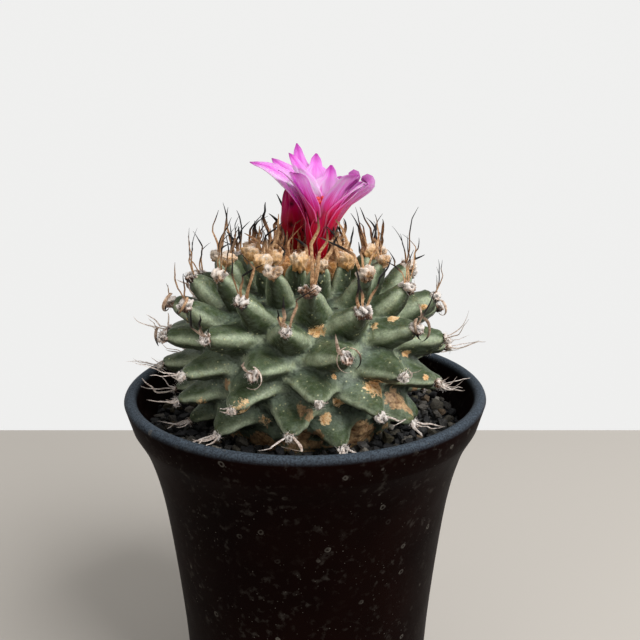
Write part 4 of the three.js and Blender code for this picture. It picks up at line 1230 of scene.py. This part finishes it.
# Stigma lobes are covered in fine wet grains, orange-red and soft looking
grain = add(tree, "TexNoise", {"Vector": place, "Scale": 1 / 0.25, "Detail": 2})
add(tree, "OutputMaterial", [add(tree, "BsdfPrincipled", {
    "Base Color": add(tree, "MixRGB", [grain, STIGMA_RED, STIGMA_ORANGE]), "Roughness": 0.6,
    "Normal": add(tree, "Bump", {"Height": grain, "Strength": 0.8, "Distance": 0.0002}),
    "Sheen Weight": 0.4, "Sheen Roughness": 0.4,
})])

make_piece("stigma_and_stamens", stood(organ_points, OPEN_FOOT, OPEN_LEAN), organ_faces, velvet)

# The spent bloom is a closed sheaf: its tepals overlap in five folds, wound a little about it
FURL_OUTLINE = [
    (0.2, 0.1), (1.9, 0.8), (2.6, 3), (3.1, 6), (3.4, 9), (3.6, 12), (3.45, 14.6), (3.1, 17),
    (2.7, 19.6), (1.9, 22), (0.9, 23.6), (0.1, 24),
]
FURL_STEPS, FURL_AROUND = 90, 160
FOLDS = 5
FOLD_EDGE = 0.1  # share of each fold's width that its edge takes
DENTS = ((-1.7, 16.9), (-1.75, 10.9), (1.2, 13.5), (2.9, 15))  # turn in radians, and height
SPENT_COLOURS = [(0.1, "#a8060c"), (0.3, "#9c0010"), (0.5, "#a60428"), (0.72, "#b80e60"), (0.95, "#880a4a")]
# Pinker folded edge, partly a painted highlight along the fold ridges
SPENT_EDGE_AND_HIGHLIGHT = "#b03a70"
# Darker in the dents
SPENT_DENT_DARK = "#2a0008"

turn = np.linspace(0, 2 * np.pi, FURL_AROUND, endpoint=False)[None]
outline = curve_through(FURL_OUTLINE, FURL_STEPS)
radius, height = outline[:, :1], outline[:, 1:]
fold_place = (turn * FOLDS / (2 * np.pi) + height * 0.055 + 0.35 * np.sin(height * 0.25)) % 1
fold = 1 - (fold_place - FOLD_EDGE) / (1 - FOLD_EDGE)
fold = np.where(fold_place < FOLD_EDGE, fold_place / FOLD_EDGE, fold)
pleat = 0.3 * np.sin(turn * 10 + height * 0.35) * np.clip((height - 14) / 8, 0, 1)
dent = np.zeros(fold.shape)
for dent_turn, dent_height in DENTS:
    apart = (turn - dent_turn + np.pi) % (2 * np.pi) - np.pi
    dent += np.exp(-((apart * radius / 0.85) ** 2 + ((height - dent_height) / 0.95) ** 2))
radius = np.maximum(radius + (0.75 * fold - 0.42 + pleat) * np.clip(radius / 2.4, 0, 1) - 0.7 * dent, 0.05)
bow = 1.9 * np.clip(1 - height / 11, 0, 1) ** 2
furled = np.stack([radius * np.cos(turn) + bow, radius * np.sin(turn), height + 0 * turn], axis=-1)
furled = furled.reshape(-1, 3)
_, furled_faces = turned(outline, FURL_AROUND)
around = np.arange(FURL_AROUND)
ends_closed = np.array([around[::-1], len(furled) - FURL_AROUND + around])
furled_faces = furled_faces[:-FURL_AROUND].tolist() + ends_closed.tolist()
spent_marks = {
    "fold": fold.ravel(), "rise": np.clip(furled[:, 2] / CLOSED_HEIGHT, 0, 1), "dent": dent.ravel(),
}

spent, tree, place = new_finish("spent_petal")
# A furled bloom: wet, dark plum, glossy, darker in its dents, pinker fold edges with a painted highlight
fold, rise, dent = (add(tree, "Attribute", output="Fac", attribute_name=mark) for mark in spent_marks)
stretched = add(tree, "VectorMath", [place, (1.1, 1.1, 0.16)], operation="MULTIPLY")
vein = add(tree, "TexNoise", {"Vector": stretched, "Scale": 0.8, "Detail": 2})
level = add(tree, "Math", [vein, 0.3, -0.15], operation="MULTIPLY_ADD")
level = add(tree, "Math", [rise, level], operation="ADD")
# Pinker folded edges higher up, partly a painted highlight
pinker_edge_and_highlight = add(tree, "Math", [add(tree, "MapRange", [fold, 0.86, 1, 0, 0.5]), rise], operation="MULTIPLY")
# Darker in the dents
dent_darkening = add(tree, "Math", [dent, 0.9], operation="MULTIPLY")
spent_colour = add(tree, "ValToRGB", [level], stops=SPENT_COLOURS)
for share, colour in ((pinker_edge_and_highlight, SPENT_EDGE_AND_HIGHLIGHT), (dent_darkening, SPENT_DENT_DARK)):
    spent_colour = add(tree, "MixRGB", [share, spent_colour, colour])
add(tree, "OutputMaterial", [add(tree, "BsdfPrincipled", {
    "Base Color": spent_colour, "Roughness": 0.34, "IOR": 1.25,
    "Normal": add(tree, "Bump", {"Height": vein, "Strength": 0.6, "Distance": 0.0004}),
    "Subsurface Weight": 0.15, "Subsurface Radius": (1.0, 0.3, 0.5), "Subsurface Scale": 0.001,
})])

make_piece("closed_bloom", stood(furled, CLOSED_FOOT, CLOSED_LEAN), furled_faces, spent,
           ["bloom_closed"], crease=60, marks=spent_marks)


# Floor, light and camera
# The plant stands on a plain pale floor, far in front of a bright pale wall, in soft light from a
# large window above and to the right. The camera looks down on it by about fifteen degrees.

CAMERA_PLACE = (4.2, -195.5, 71.2 + RIM_PLANE)
CAMERA_DOWN = 14.51  # degrees
FOCAL_LENGTH = 26
SENSOR_WIDTH = 24
ROOM_LIGHT = 0.36
# Metres from here on: left and front end, right and back end, and bottom and top
FLOOR = [(-1.5, -1.2, 0), (1.5, -1.2, 0), (1.5, 0.221, 0), (-1.5, 0.221, 0)]
WALL = [(-2.5, 1.5, -1.2), (2.5, 1.5, -1.2), (2.5, 1.5, 1.8), (-2.5, 1.5, 1.8)]


def placed(name, data):
    """An object in the scene that shows some data."""
    made = bpy.data.objects.new(name, data)
    bpy.context.scene.collection.objects.link(made)
    return made


for name, corners, colour, glow in (("floor", FLOOR, "#c6c0b8", 0), ("wall", WALL, "#404040", 0.85)):
    sheet = bpy.data.meshes.new(name)
    sheet.from_pydata(corners, [], [(0, 1, 2, 3)])
    paint, tree, place = new_finish("matt_" + name)
    add(tree, "OutputMaterial", [add(tree, "BsdfPrincipled", {
        "Base Color": colour, "Roughness": 0.9, "Emission Color": "#fdfdfc", "Emission Strength": glow,
    })])
    sheet.materials.append(paint)
    placed(name, sheet)

world = bpy.data.worlds.new("soft_room_light")
world.use_nodes = True
world.node_tree.nodes["Background"].inputs["Color"].default_value = linear("#f4f4f3")
world.node_tree.nodes["Background"].inputs["Strength"].default_value = ROOM_LIGHT
bpy.context.scene.world = world

for name, place, aim, size, power, colour in (
    ("window", (0.52, -0.42, 0.82), (0, 0, 0.12), 0.55, 10.2, "#fdfdfd"),
    ("bounce", (-0.7, -0.5, 0.45), (0, 0, 0.1), 0.6, 0.8, "#fff6ec"),
):
    lamp = bpy.data.lights.new(name, "AREA")
    lamp.size, lamp.energy, lamp.color = size, power, linear(colour)[:3]
    holder = placed(name, lamp)
    holder.location = place
    holder.rotation_euler = (Vector(aim) - Vector(place)).to_track_quat("-Z", "Y").to_euler()

lens = bpy.data.cameras.new("camera")
lens.lens, lens.sensor_width, lens.sensor_fit = FOCAL_LENGTH, SENSOR_WIDTH, "HORIZONTAL"
lens.clip_start = 0.01
camera = placed("camera", lens)
camera.location = Vector(CAMERA_PLACE) / 1000
camera.rotation_euler = (math.radians(90 - CAMERA_DOWN), 0, 0)
bpy.context.scene.camera = camera
bpy.context.scene.view_settings.view_transform = "Standard"
